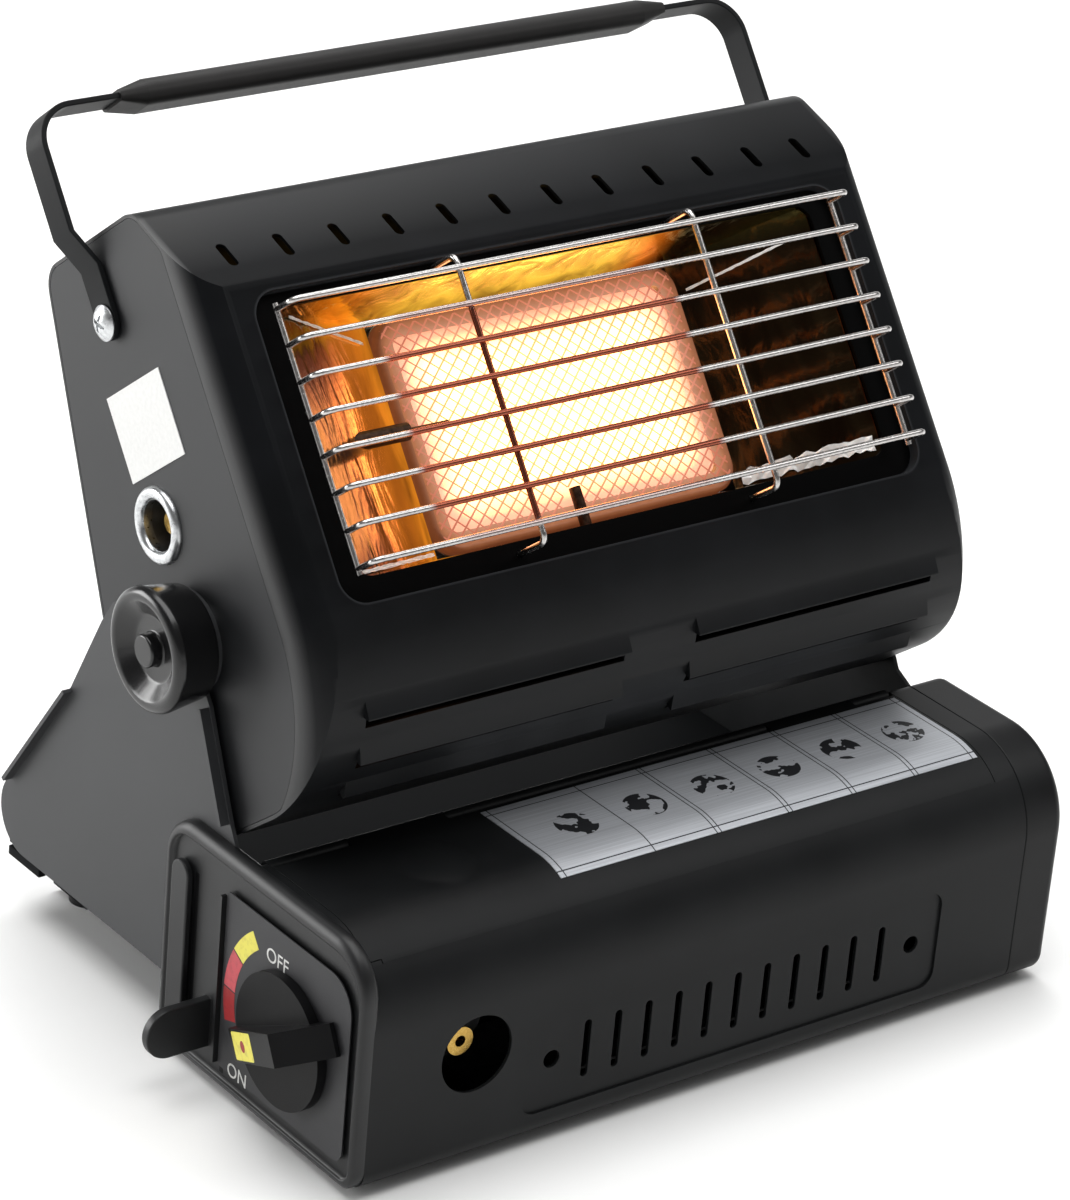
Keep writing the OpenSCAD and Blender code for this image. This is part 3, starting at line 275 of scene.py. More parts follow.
for share in BLOTS:
    centre = (LABEL_LOW.x + share * LABEL_W, LABEL_LOW.y + BLOT_Y, 0)
    away = add(tree, "VectorMath", {0: flat, 1: centre}, operation="DISTANCE").outputs["Value"]
    near = add(tree, "Math", {0: away, 1: BLOT_R}, operation="LESS_THAN").outputs["Value"]
    marks.append(add(tree, "Math", {0: near, 1: inked}, operation="MULTIPLY").outputs["Value"])
ink = marks[0]
for mark in marks[1:]:
    ink = add(tree, "Math", {0: ink, 1: mark}, operation="MAXIMUM").outputs["Value"]
printed = add(tree, "Mix", {"Factor": ink, "A": sheen, "B": linear("#2A2B2E")}, data_type="RGBA")
gloss = add(tree, "MapRange", {"Value": grain, "To Min": 0.4, "To Max": 0.5})
set_surface(tree, Base_Color=printed.outputs[2], Roughness=gloss.outputs["Result"], Metallic=0.55)
dress(foil, "lid_label")

# The ends of the base: moulded ABS caps with a fine spark-eroded grain. The left one carries
# the control panel, the gas knob and the cartridge lock lever.
STREAK = 18 * MM
CAP_EDGE = 0.5 * MM


def moulded_abs(name, dark, pale, rough, specular, grain_size):
    """Black moulded plastic with a fine even grain from the mould."""
    material, tree = new_material(name)
    place = add(tree, "TexCoord").outputs["Object"]
    streaks = add(tree, "TexNoise", {"Vector": place, "Scale": 1 / STREAK, "Detail": 3.0}).outputs["Fac"]
    tone = add(tree, "ValToRGB", {"Fac": streaks}, stops=((0.3, dark), (0.7, pale)))
    grain = add(tree, "TexNoise", {"Vector": place, "Scale": 1 / grain_size, "Detail": 2.0}).outputs["Fac"]
    gloss = add(tree, "MapRange", {"Value": grain, "To Min": rough - GLOSS_SPREAD,
                                   "To Max": rough + GLOSS_SPREAD})
    bump = add(tree, "Bump", {"Height": grain, "Strength": 0.15, "Distance": 0.04 * MM})
    set_surface(tree, Base_Color=tone.outputs["Color"], Roughness=gloss.outputs["Result"],
                Normal=bump.outputs["Normal"], Specular_IOR_Level=specular)
    return material


cap_abs = moulded_abs("grained_black_abs", "#161617", "#1E1F20", 0.4, 0.35, 0.5 * MM)
end_abs = moulded_abs("fine_black_abs", "#111112", "#171819", 0.42, 0.18, 0.5 * MM)
knob_abs = moulded_abs("satin_black_abs", "#0B0B0C", "#101011", 0.4, 0.12, 0.4 * MM)
dress(cap_abs, "lock_lever")
dress(end_abs, "right_end_cap")
dress(knob_abs, "control_knob", "lever_guide", "spark_igniter")
ease_edges(CAP_EDGE, "right_end_cap", "control_knob", "lock_lever")

# The left cap's moulding as it shows: a deep rounded shoulder from the shell down to a crest,
# a sunk face with the lever's slot, and on it a raised bar, a rib and the printed panel.
# The shoulder is a run of steps inwards and outwards, in millimetres.
CAP_IN = -135.25 * MM
CAP_FACE = -139.45 * MM
CAP_LOW = Vector((0, -111, 3)) * MM
CAP_HIGH = Vector((0, 2, 89)) * MM
CAP_CORNERS = (8 * MM, 18 * MM, 14 * MM, 8 * MM)
CAP_WALL = 1.2 * MM
CAP_RISE = 2 * MM
CAP_SHOULDER = ((0.35, 1.3), (0.75, 1.2), (1.1, 1.0), (1.4, 0.8), (1.6, 0.5), (1.3, 0.15),
                (0.7, -0.25), (0.5, -0.9), (0.3, -1.6))
CREST_SHIFT = 2.0 * MM
CREST_DEEP = 5 * MM
CUT_SNAP = 0.0001 * MM
FACE_NEAR = 0.1 * MM
SLOT_LOW = Vector((0, -26.6, 12)) * MM
SLOT_HIGH = Vector((0, -22.2, 63.5)) * MM
CAP_BAR = (Vector((0, -13.5, 12)) * MM, Vector((0, -4, 75)) * MM)
CAP_BAR_CORNER = 4.6 * MM
CAP_BAR_EDGE = 0.7 * MM
CAP_RIB = (Vector((0, -33.6, 12)) * MM, Vector((0, -32.2, 74)) * MM)
CAP_RIB_CORNER = 0.5 * MM
BAR_RISE = 2.0 * MM
PANEL = (Vector((0, -104.6, 11.6)) * MM, Vector((0, -34.2, 76)) * MM)
PANEL_CORNERS = (5 * MM, 12 * MM, 1.5 * MM, 1.5 * MM)
PANEL_RISE = 0.4 * MM


def made_verts(made):
    """The vertices among what a bmesh operator made."""
    return [part for part in made["geom"] if isinstance(part, bmesh.types.BMVert)]


def rounded_plate(x, low, high, corners):
    """A flat face across X between two corners of it, its own corners rounded in turn."""
    mesh = bmesh.new()
    spots = [(low.y, low.z), (low.y, high.z), (high.y, high.z), (high.y, low.z)]
    verts = [mesh.verts.new((x, y, z)) for y, z in spots]
    mesh.faces.new(verts[::-1])
    for vertex, radius in zip(verts, corners):
        bmesh.ops.bevel(mesh, geom=[vertex], offset=radius, segments=10, profile=0.5,
                        affect="VERTICES", material=-1)
    bmesh.ops.recalc_face_normals(mesh, faces=mesh.faces)
    if mesh.faces[:][0].normal.x > 0:
        bmesh.ops.reverse_faces(mesh, faces=mesh.faces)
    return mesh


def raise_plate(mesh, height):
    """Draws a flat face out along -X to a solid plate and returns the corners of its top."""
    top = made_verts(bmesh.ops.extrude_face_region(mesh, geom=mesh.faces[:], use_keep_orig=True))
    bmesh.ops.translate(mesh, verts=top, vec=(-height, 0, 0))
    return top


cap = rounded_plate(CAP_IN, CAP_LOW, CAP_HIGH, CAP_CORNERS)
drawn = made_verts(bmesh.ops.extrude_face_region(cap, geom=cap.faces[:]))
bmesh.ops.translate(cap, verts=drawn, vec=(-CAP_RISE, 0, 0))
for inset, rise in CAP_SHOULDER:
    face = max(cap.faces, key=lambda one: one.calc_area())
    bmesh.ops.inset_region(cap, faces=[face], thickness=inset * MM, depth=rise * MM, use_even_offset=True)
for vertex in cap.verts:
    share = min(max((CAP_IN - CAP_RISE - vertex.co.x) / CREST_DEEP, 0), 1)
    along = (vertex.co.y - CAP_LOW.y) / (CAP_HIGH.y - CAP_LOW.y)
    up = (vertex.co.z - CAP_LOW.z) / (CAP_HIGH.z - CAP_LOW.z)
    vertex.co.y = max(vertex.co.y + CREST_SHIFT * share * (2 * along - 1), CAP_LOW.y)
    vertex.co.z -= CREST_SHIFT * share * up
for facing in ((0, 1, 0), (0, 0, 1)):
    for cut in (SLOT_LOW, SLOT_HIGH):
        sunk = {face for face in cap.faces if abs(face.calc_center_median().x - CAP_FACE) < FACE_NEAR}
        borders = {edge for face in sunk for edge in face.edges}
        corners = {vertex for face in sunk for vertex in face.verts}
        bmesh.ops.bisect_plane(cap, geom=list(sunk | borders | corners), dist=CUT_SNAP, plane_co=cut,
                               plane_no=facing)
hole = []
for face in cap.faces:
    middle = face.calc_center_median()
    if SLOT_LOW.y < middle.y < SLOT_HIGH.y and SLOT_LOW.z < middle.z < SLOT_HIGH.z:
        hole.append(face)
bmesh.ops.delete(cap, geom=hole, context="FACES")
cap_object = mesh_object("left_cap_moulding", cap, cap_abs, smooth=True)
cap_object.modifiers.new("wall_thickness", "SOLIDIFY").thickness = CAP_WALL
cap_object.modifiers.new("even_shading", "WEIGHTED_NORMAL").weight = EVEN_WEIGHT
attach(cap_object, "base")
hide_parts("left_end_cap")

bar = rounded_plate(CAP_FACE, *CAP_BAR, (CAP_BAR_CORNER,) * 4)
top = raise_plate(bar, BAR_RISE)
edges = [e for e in bar.edges if all(v in top for v in e.verts)]
bmesh.ops.bevel(bar, geom=edges, offset=CAP_BAR_EDGE, segments=3, profile=0.5, affect="EDGES", material=-1)
bar_object = mesh_object("left_cap_bar", bar, cap_abs)
rib = rounded_plate(CAP_FACE, *CAP_RIB, (CAP_RIB_CORNER,) * 4)
raise_plate(rib, BAR_RISE)
rib_object = mesh_object("left_cap_rib", rib, cap_abs)
for piece in (bar_object, rib_object):
    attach(piece, "base")

panel_grey = moulded_abs("matt_grey_printed_panel", "#2A2A2C", "#313133", 0.5, 0.35, 0.3 * MM)
panel = rounded_plate(CAP_FACE, *PANEL, PANEL_CORNERS)
raise_plate(panel, PANEL_RISE)
panel_object = mesh_object("printed_control_panel", panel, panel_grey)
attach(panel_object, "base")
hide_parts("control_panel")

# The dial's marks: a screen printed band behind the gas knob in yellow, red and dark red, and
# the words OFF and ON. The ink is matt and a little thin in places.
PANEL_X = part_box("control_panel")[0].x
KNOB_Y = -71.1 * MM
KNOB_Z = 40.3 * MM
INK = 0.06 * MM
INK_PATCH = 2.5 * MM
BAND_IN = 29.5 * MM
BAND_OUT = 35.8 * MM
WORD_H = 5.0 * MM
CAPITAL_SHARE = 0.7


def ink_material(name, colour, worn):
    """Screen printed ink: even, matt, a little thin in places."""
    material, tree = new_material(name)
    place = add(tree, "TexCoord").outputs["Object"]
    thin = add(tree, "TexNoise", {"Vector": place, "Scale": 1 / INK_PATCH, "Detail": 3.0}).outputs["Fac"]
    tone = add(tree, "ValToRGB", {"Fac": thin}, stops=((0.25, worn), (0.5, colour)))
    set_surface(tree, Base_Color=tone.outputs["Color"], Roughness=0.5)
    return material


yellow_ink = ink_material("yellow_screen_ink", "#D9CF52", "#BDB24A")
red_ink = ink_material("red_screen_ink", "#B8434B", "#9A3A42")
dark_red_ink = ink_material("dark_red_screen_ink", "#8E0F14", "#760D12")
white_ink = ink_material("white_screen_ink", "#D5D5D2", "#AFAFAD")


def dial_band(name, start, end, material):
    """One printed stretch of the dial's band, swept round the knob from a rear-facing edge."""
    mesh = bmesh.new()
    low = mesh.verts.new((PANEL_X, KNOB_Y + BAND_IN, KNOB_Z))
    high = mesh.verts.new((PANEL_X, KNOB_Y + BAND_OUT, KNOB_Z))
    edge = mesh.edges.new((low, high))
    centre = (PANEL_X, KNOB_Y, KNOB_Z)
    bmesh.ops.rotate(mesh, verts=mesh.verts, cent=centre, matrix=Matrix.Rotation(radians(start), 3, "X"))
    bmesh.ops.spin(mesh, geom=[edge], cent=centre, axis=(1, 0, 0), angle=radians(end - start), steps=12)
    lifted = made_verts(bmesh.ops.extrude_face_region(mesh, geom=mesh.faces))
    bmesh.ops.translate(mesh, verts=lifted, vec=(-INK, 0, 0))
    band = mesh_object(name, mesh, material)
    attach(band, "base")


dial_band("dial_band_yellow", 29, 53, yellow_ink)
dial_band("dial_band_red", 3.5, 28, red_ink)
dial_band("dial_band_dark_red", -17, 2.5, dark_red_ink)


def dial_word(name, text, y, z):
    """A printed word, read from the control end."""
    curve = bpy.data.curves.new(name, "FONT")
    curve.body = text
    curve.size = WORD_H / CAPITAL_SHARE
    curve.align_x = "CENTER"
    curve.align_y = "CENTER"
    curve.extrude = INK / 2
    drawn = bpy.data.objects.new(name + "_text", curve)
    scene.collection.objects.link(drawn)
    data = bpy.data.meshes.new_from_object(drawn.evaluated_get(bpy.context.evaluated_depsgraph_get()))
    bpy.data.objects.remove(drawn)
    data.name = name
    upright = Matrix.Rotation(radians(-90), 4, "Z") @ Matrix.Rotation(radians(90), 4, "X")
    data.transform(Matrix.Translation((PANEL_X - INK / 2, y, z)) @ upright)
    data.materials.clear()
    data.materials.append(white_ink)
    word = bpy.data.objects.new(name, data)
    scene.collection.objects.link(word)
    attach(word, "base")


dial_word("dial_word_off", "OFF", -63.8 * MM, 65.0 * MM)
dial_word("dial_word_on", "ON", -45.5 * MM, 13.2 * MM)

# The gas knob's pointer: a yellow patch with a red dot, printed on the rising face of the
# knob's bar. It turns with the knob.
POINTER_TURN = radians(-28)
POINTER_SLOPE = radians(13.1)
POINTER_AT = 11.4 * MM
POINTER_H = 5.63 * MM
POINTER_L = 18.0 * MM
POINTER_W = 9.4 * MM
POINTER_CORNER = 0.8 * MM
POINTER_DOT = 2.0 * MM
DISC_FACE = -143.65 * MM
on_knob = Matrix.Translation((DISC_FACE, KNOB_Y, KNOB_Z)) @ Matrix.Rotation(POINTER_TURN, 4, "X")
on_bar = Matrix.Translation((-POINTER_H, POINTER_AT, 0)) @ Matrix.Rotation(-POINTER_SLOPE, 4, "Z")
pointer_place = on_knob @ on_bar @ Matrix.Rotation(radians(-90), 4, "Y")


def pointer_mark(name, mesh, lift, material):
    """A flat printed mark set on the rising face of the knob's bar, as thick as its ink."""
    lifted = made_verts(bmesh.ops.extrude_face_region(mesh, geom=mesh.faces))
    bmesh.ops.translate(mesh, verts=lifted, vec=(0, 0, INK))
    bmesh.ops.translate(mesh, verts=mesh.verts, vec=(0, 0, lift))
    bmesh.ops.transform(mesh, verts=mesh.verts, matrix=pointer_place)
    mark = mesh_object(name, mesh, material)
    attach(mark, "knob_body")


patch = bmesh.new()
bmesh.ops.create_grid(patch, x_segments=1, y_segments=1, size=0.5)
bmesh.ops.scale(patch, verts=patch.verts, vec=(POINTER_W, POINTER_L, 1))
bmesh.ops.bevel(patch, geom=patch.verts, offset=POINTER_CORNER, segments=4, profile=0.5,
                affect="VERTICES", material=-1)
pointer_mark("pointer_patch", patch, 0, yellow_ink)
dot = bmesh.new()
bmesh.ops.create_circle(dot, cap_ends=True, segments=24, radius=POINTER_DOT)
pointer_mark("pointer_dot", dot, INK / 2, dark_red_ink)

# Small metal parts: zinc plated screws, studs, washers and hinge pin, a brass nipple and jet,
# a copper pipe, the die cast valve and regulator, and the aluminised sheet and tube inside.
# Bright metal with faint marks from drawing, turning or casting.
METAL_GLOSS = (-0.06, 0.08)


def bare_metal(name, dark, pale, rough, mark):
    """Bare or plated metal, with faint marks of that length from drawing, turning or casting."""
    material, tree = new_material(name)
    place = add(tree, "TexCoord").outputs["Object"]
    marks = add(tree, "TexNoise", {"Vector": place, "Scale": 1 / mark, "Detail": 4.0}).outputs["Fac"]
    tone = add(tree, "ValToRGB", {"Fac": marks}, stops=((0.3, dark), (0.7, pale)))
    gloss = add(tree, "MapRange", {"Value": marks, "To Min": rough + METAL_GLOSS[0],
                                   "To Max": rough + METAL_GLOSS[1]})
    bump = add(tree, "Bump", {"Height": marks, "Strength": 0.08, "Distance": 0.05 * MM})
    set_surface(tree, Base_Color=tone.outputs["Color"], Roughness=gloss.outputs["Result"],
                Normal=bump.outputs["Normal"], Metallic=1.0)
    return material


zinc = bare_metal("zinc_plated_steel", "#B4B6B8", "#D6D8D9", 0.28, 1.5 * MM)
brass = bare_metal("turned_brass", "#B58F45", "#D2AE62", 0.25, 1.2 * MM)
copper = bare_metal("drawn_copper", "#A9643F", "#C67F58", 0.28, 2.0 * MM)
die_cast = bare_metal("die_cast_zinc", "#8E9092", "#A9ABAD", 0.45, 0.8 * MM)
aluminised = bare_metal("aluminised_steel", "#9C9D9E", "#BDBEBE", 0.38, 6.0 * MM)
dress(zinc, "bracket_screws", "back_screws", "handle_screws", "pivot_studs", "pivot_washers",
      "lid_hinge_pin", "valve_spindle", "air_inlet_ring")
dress(brass, "hose_nipple", "injector")
dress(copper, "gas_pipe")
dress(die_cast, "gas_valve", "regulator")
dress(aluminised, "cartridge_cradle", "cartridge_stop", "mixing_tube", "heat_shield", "burner_box")

# The feet: four pads of moulded black rubber under the base and the brace. Rubber is dull and
# gets a faint grey bloom.
BLOOM = 4 * MM
rubber, tree = new_material("moulded_black_rubber")
place = add(tree, "TexCoord").outputs["Object"]
bloom = add(tree, "TexNoise", {"Vector": place, "Scale": 1 / BLOOM, "Detail": 3.0}).outputs["Fac"]
tone = add(tree, "ValToRGB", {"Fac": bloom}, stops=((0.0, "#121212"), (1.0, "#1E1E1E")))
set_surface(tree, Base_Color=tone.outputs["Color"], Roughness=0.75, Specular_IOR_Level=0.3)
dress(rubber, "rubber_feet")

# The head's casing: one pressed front panel with rolled upright edges, two side plates and the
# back, in heat proof satin black paint. On the face the sheen is painted by place: painted sheen
# on the bulge and the top, a painted highlight on the rolled edges, little round the burner's
# mouth. The recess is painted near black and dull, and its pressed edge gets a paler line of
# painted highlight.
HEAD_LEAN = radians(37.7)
HEAD_AT = Vector((4.75, 2.0, 148.0)) * MM
RECESS_Z = 42.0 * MM
RECESS_HALF = Vector((119.0, 0.0, 51.5)) * MM
RECESS_CORNER = 9.0 * MM
RECESS_SHINE = 0.02
FACE_SHINE = 0.035
BULGE_PAINTED_SHEEN = 0.17
BULGE_FADE = (-24 * MM, -8 * MM)
TOP_PAINTED_SHEEN = 0.2
TOP_FADE = (104 * MM, 130 * MM)
ROLL_PAINTED_HIGHLIGHT = 0.5
ROLL_FADE = (133 * MM, 136 * MM)
head_place = Matrix.Translation(HEAD_AT) @ Matrix.Rotation(-HEAD_LEAN, 4, "X")
to_head = Matrix.Rotation(HEAD_LEAN, 3, "X")


def head_coordinates(tree, centre):
    """Object coordinates turned into the head's own upright frame, measured from a point of it."""
    place = add(tree, "TexCoord").outputs["Object"]
    shift = -(to_head @ HEAD_AT) - Vector(centre)
    turned = add(tree, "Mapping", {"Vector": place, "Rotation": (HEAD_LEAN, 0, 0), "Location": shift})
    return turned.outputs["Vector"]


def edge_distance(tree, vector, half, margin):
    """How far a point lies from the inner field of a plate, as a share of its margin."""
    flat = add(tree, "VectorMath", {0: vector, 1: (1, 0, 1)}, operation="MULTIPLY").outputs["Vector"]
    size = add(tree, "VectorMath", {0: flat}, operation="ABSOLUTE").outputs["Vector"]
    field = (half.x - margin, 0, half.z - margin)
    past = add(tree, "VectorMath", {0: size, 1: field}, operation="SUBTRACT").outputs["Vector"]
    kept = add(tree, "VectorMath", {0: past, 1: (0, 0, 0)}, operation="MAXIMUM").outputs["Vector"]
    away = add(tree, "VectorMath", {0: kept}, operation="LENGTH").outputs["Value"]
    return add(tree, "Math", {0: away, 1: margin}, operation="DIVIDE").outputs["Value"]


def coat_colour(material):
    """The output that colours a finished coat, for laying another colour over it."""
    return material.node_tree.nodes["Principled BSDF"].inputs["Base Color"].links[0].from_socket


head_coat = powder_coat("heat_proof_satin_black", "#0F1011", "#151618", 0.41, FACE_SHINE)
tree = head_coat.node_tree
share = edge_distance(tree, head_coordinates(tree, (0, 0, RECESS_Z)), RECESS_HALF, RECESS_CORNER)
half_share = add(tree, "Math", {0: share, 1: 0.5}, operation="MULTIPLY").outputs["Value"]
# The recess is painted near black and dull.
recess_mask = add(tree, "ValToRGB", {"Fac": half_share}, stops=(
    (0.0, "#FFFFFF"), (0.47, "#FFFFFF"), (0.53, "#000000"))).outputs["Color"]
# A paler line along the recess's pressed edge: painted highlight.
recess_edge_painted_highlight = add(tree, "ValToRGB", {"Fac": half_share}, stops=(
    (0.47, "#000000"), (0.49, "#FFFFFF"), (0.515, "#FFFFFF"), (0.55, "#000000"))).outputs["Color"]
paint = coat_colour(head_coat)
recess_darkened = add(tree, "Mix", {"Factor": recess_mask, "A": paint, "B": linear("#060606")}, data_type="RGBA")
edged = add(tree, "Mix", {"Factor": recess_edge_painted_highlight, "A": recess_darkened.outputs[2], "B": linear("#2C2D2F")},
            data_type="RGBA")
local = add(tree, "SeparateXYZ", {"Vector": head_coordinates(tree, (0, 0, 0))})
# More sheen on the bulge and the top: painted sheen.
bulge = add(tree, "MapRange", {"Value": local.outputs["Z"], "From Min": BULGE_FADE[0],
                               "From Max": BULGE_FADE[1], "To Min": BULGE_PAINTED_SHEEN, "To Max": FACE_SHINE})
top = add(tree, "MapRange", {"Value": local.outputs["Z"], "From Min": TOP_FADE[0],
                             "From Max": TOP_FADE[1], "To Min": FACE_SHINE, "To Max": TOP_PAINTED_SHEEN})
painted_sheen_by_place = add(tree, "Math", {0: bulge.outputs["Result"], 1: top.outputs["Result"]}, operation="MAXIMUM")
shine = add(tree, "MapRange", {"Value": recess_mask, "To Min": painted_sheen_by_place.outputs["Value"], "To Max": RECESS_SHINE})
# More sheen on the rolled edges: painted highlight.
sideways = add(tree, "Math", {0: local.outputs["X"]}, operation="ABSOLUTE").outputs["Value"]
roll = add(tree, "MapRange", {"Value": sideways, "From Min": ROLL_FADE[0], "From Max": ROLL_FADE[1],
                              "To Max": ROLL_PAINTED_HIGHLIGHT})
glossy = add(tree, "Math", {0: shine.outputs["Result"], 1: roll.outputs["Result"]}, operation="MAXIMUM")
set_surface(tree, Base_Color=edged.outputs[2], Specular_IOR_Level=glossy.outputs["Value"])
dress(head_coat, "front_panel")
side_coat = powder_coat("heat_proof_matt_black", "#17181A", "#1F2022", 0.51, 0.4)
dress(side_coat, "left_side_plate", "right_side_plate", "back_panel")
ease_edges(SHEET_EDGE, "front_panel", "left_side_plate", "right_side_plate", "back_panel")

# The side sticker: plain white paper stuck on the left side plate, between the handle's screw
# and the air inlet. Its fibre gives a fine uneven white.
FIBRE = 1.5 * MM
sticker, tree = new_material("white_paper_sticker")
place = add(tree, "TexCoord").outputs["Object"]
fibre = add(tree, "TexNoise", {"Vector": place, "Scale": 1 / FIBRE, "Detail": 3.0}).outputs["Fac"]
tone = add(tree, "ValToRGB", {"Fac": fibre}, stops=((0.0, "#CFCFCD"), (1.0, "#E2E2E0")))
set_surface(tree, Base_Color=tone.outputs["Color"], Roughness=0.55)
dress(sticker, "side_sticker")

# The burner's plaque: porous ceramic that glows yellow white in the middle and dull red at its
# edge, where the heat is drawn off.
PLAQUE_Z = 42.5 * MM
PLAQUE_HALF = Vector((56.0, 0.0, 34.0)) * MM
PLAQUE_COOL = 14 * MM
plaque, tree = new_material("glowing_ceramic_plaque")
share = edge_distance(tree, head_coordinates(tree, (0, 0, PLAQUE_Z)), PLAQUE_HALF, PLAQUE_COOL)
glow_ramp = add(tree, "ValToRGB", {"Fac": share}, stops=(
    (0.0, "#FFAA61"), (0.35, "#CB7C4B"), (0.8, "#59382A"), (1.0, "#482F23")))
set_surface(tree, Base_Color=linear("#D9C3B0"), Roughness=0.8,
            Emission_Color=glow_ramp.outputs["Color"], Emission_Strength=10.0)
dress(plaque, "ceramic_tile")

# The burner's screen: expanded steel, slit and drawn to a net of lozenges, pressed to a pillow
# in front of the plaque and notched for the flame sensor. It glows with the plaque.
SCREEN_CELLS = 42
SCREEN_CELL = Vector((5.3, 5.0)) * MM
SCREEN_STRAND = 0.11
SCREEN_THIN = 1.6
SCREEN_T = 0.4 * MM
SCREEN_Y = -36.6 * MM
SCREEN_BOW = 2.6 * MM
SCREEN_HALF = Vector((59.4, 37.4)) * MM
SCREEN_HOT = Vector((60, 0, 38)) * MM
SCREEN_COOL = 26 * MM
NOTCH_AT = Vector((-6.0, -27.0)) * MM
NOTCH_HALF = 3.5 * MM
screen = bmesh.new()
bmesh.ops.create_grid(screen, x_segments=SCREEN_CELLS, y_segments=SCREEN_CELLS, size=SCREEN_CELLS / 2)
bmesh.ops.scale(screen, verts=screen.verts, vec=(SCREEN_THIN, 1, 1))
strands = bmesh.ops.inset_individual(screen, faces=screen.faces[:], thickness=SCREEN_STRAND)["faces"]
bmesh.ops.delete(screen, geom=list(set(screen.faces) - set(strands)), context="FACES")
bmesh.ops.scale(screen, verts=screen.verts, vec=(1 / SCREEN_THIN, 1, 1))
bmesh.ops.rotate(screen, verts=screen.verts, cent=(0, 0, 0), matrix=Matrix.Rotation(radians(45), 3, "Z"))
bmesh.ops.scale(screen, verts=screen.verts, vec=(SCREEN_CELL.x / 2 ** 0.5, SCREEN_CELL.y / 2 ** 0.5, 1))
for axis, reach in ((Vector((1, 0, 0)), SCREEN_HALF.x), (Vector((0, 1, 0)), SCREEN_HALF.y)):
    for side in (1, -1):
        everything = screen.verts[:] + screen.edges[:] + screen.faces[:]
        bmesh.ops.bisect_plane(screen, geom=everything, dist=CUT_SNAP, plane_co=axis * reach * side,
                               plane_no=axis * side, clear_outer=True)
notch = []
for face in screen.faces:
    middle = face.calc_center_median()
    if abs(middle.x - NOTCH_AT.x) < NOTCH_HALF and middle.y < NOTCH_AT.y:
        notch.append(face)
bmesh.ops.delete(screen, geom=notch, context="FACES")
for vertex in screen.verts:
    u = vertex.co.x / SCREEN_HALF.x
    v = vertex.co.y / SCREEN_HALF.y
    vertex.co.z = SCREEN_BOW * (1 - u ** 4) * (1 - v ** 4)
stand = Matrix.Translation((0, SCREEN_Y, PLAQUE_Z)) @ Matrix.Rotation(radians(90), 4, "X")
bmesh.ops.transform(screen, verts=screen.verts, matrix=head_place @ stand)
screen_steel, tree = new_material("red_hot_screen_steel")
share = edge_distance(tree, head_coordinates(tree, (0, 0, PLAQUE_Z)), SCREEN_HOT, SCREEN_COOL)
glow_ramp = add(tree, "ValToRGB", {"Fac": share}, stops=(
    (0.0, "#F8E294"), (0.4, "#F0C07E"), (0.8, "#D58A72"), (1.0, "#C07058")))
set_surface(tree, Base_Color=linear("#6A4A3C"), Roughness=0.5, Metallic=1.0,
            Emission_Color=glow_ramp.outputs["Color"], Emission_Strength=1.0)
screen_object = mesh_object("burner_screen", screen, screen_steel)
screen_object.modifiers.new("sheet_thickness", "SOLIDIFY").thickness = SCREEN_T
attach(screen_object, "head")

# The burner's rim: a pressed steel frame with a rounded lip and a skirt, clamped over the
# screen's edge and tinted brown by the heat. Its emission is painted glow, the burner's light on
# its lip, palest by the mouth. Its lip is a run of steps in and out, in millimetres.
RIM_HALF = Vector((62.0, 0.0, 40.0)) * MM
RIM_CORNER = 9 * MM
RIM_BACK = -28.0 * MM
RIM_FRONT = -35.2 * MM
RIM_LIP = ((0.4, 0.9), (0.5, 0.6), (0.6, 0.2), (0.6, -0.9), (2.4, -0.2), (2.2, -0.1))
RIM_T = 0.5 * MM
RIM_GLOW_FADE = 12 * MM
RIM_MOTTLE = 4 * MM
rim = bmesh.new()
bmesh.ops.create_grid(rim, x_segments=1, y_segments=1, size=1)
bmesh.ops.scale(rim, verts=rim.verts, vec=(RIM_HALF.x, RIM_HALF.z, 1))
bmesh.ops.bevel(rim, geom=rim.verts, offset=RIM_CORNER, segments=8, profile=0.5,
                affect="VERTICES", material=-1)
for inset, rise in RIM_LIP:
    mouth = max(rim.faces, key=lambda face: face.calc_area())
    bmesh.ops.inset_region(rim, faces=[mouth], thickness=inset * MM, depth=rise * MM, use_even_offset=True,
                           use_boundary=True)
mouth = max(rim.faces, key=lambda face: face.calc_area())
bmesh.ops.delete(rim, geom=[mouth], context="FACES_ONLY")
outline = [e for e in rim.edges if e.is_boundary and all(abs(v.co.z) < TOUCHING for v in e.verts)]
skirt = made_verts(bmesh.ops.extrude_edge_only(rim, edges=outline))
bmesh.ops.translate(rim, verts=skirt, vec=(0, 0, RIM_FRONT - RIM_BACK))
stand = Matrix.Translation((0, RIM_FRONT, PLAQUE_Z)) @ Matrix.Rotation(radians(90), 4, "X")
bmesh.ops.transform(rim, verts=rim.verts, matrix=head_place @ stand)
rim_steel, tree = new_material("heat_tinted_rim_steel_painted_glow")
local = head_coordinates(tree, (0, 0, PLAQUE_Z))
mottle = add(tree, "TexNoise", {"Vector": local, "Scale": 1 / RIM_MOTTLE, "Detail": 4.0}).outputs["Fac"]
tone = add(tree, "ValToRGB", {"Fac": mottle}, stops=((0.3, "#3A2418"), (0.7, "#5A3A28")))
share = edge_distance(tree, local, RIM_HALF, RIM_GLOW_FADE)
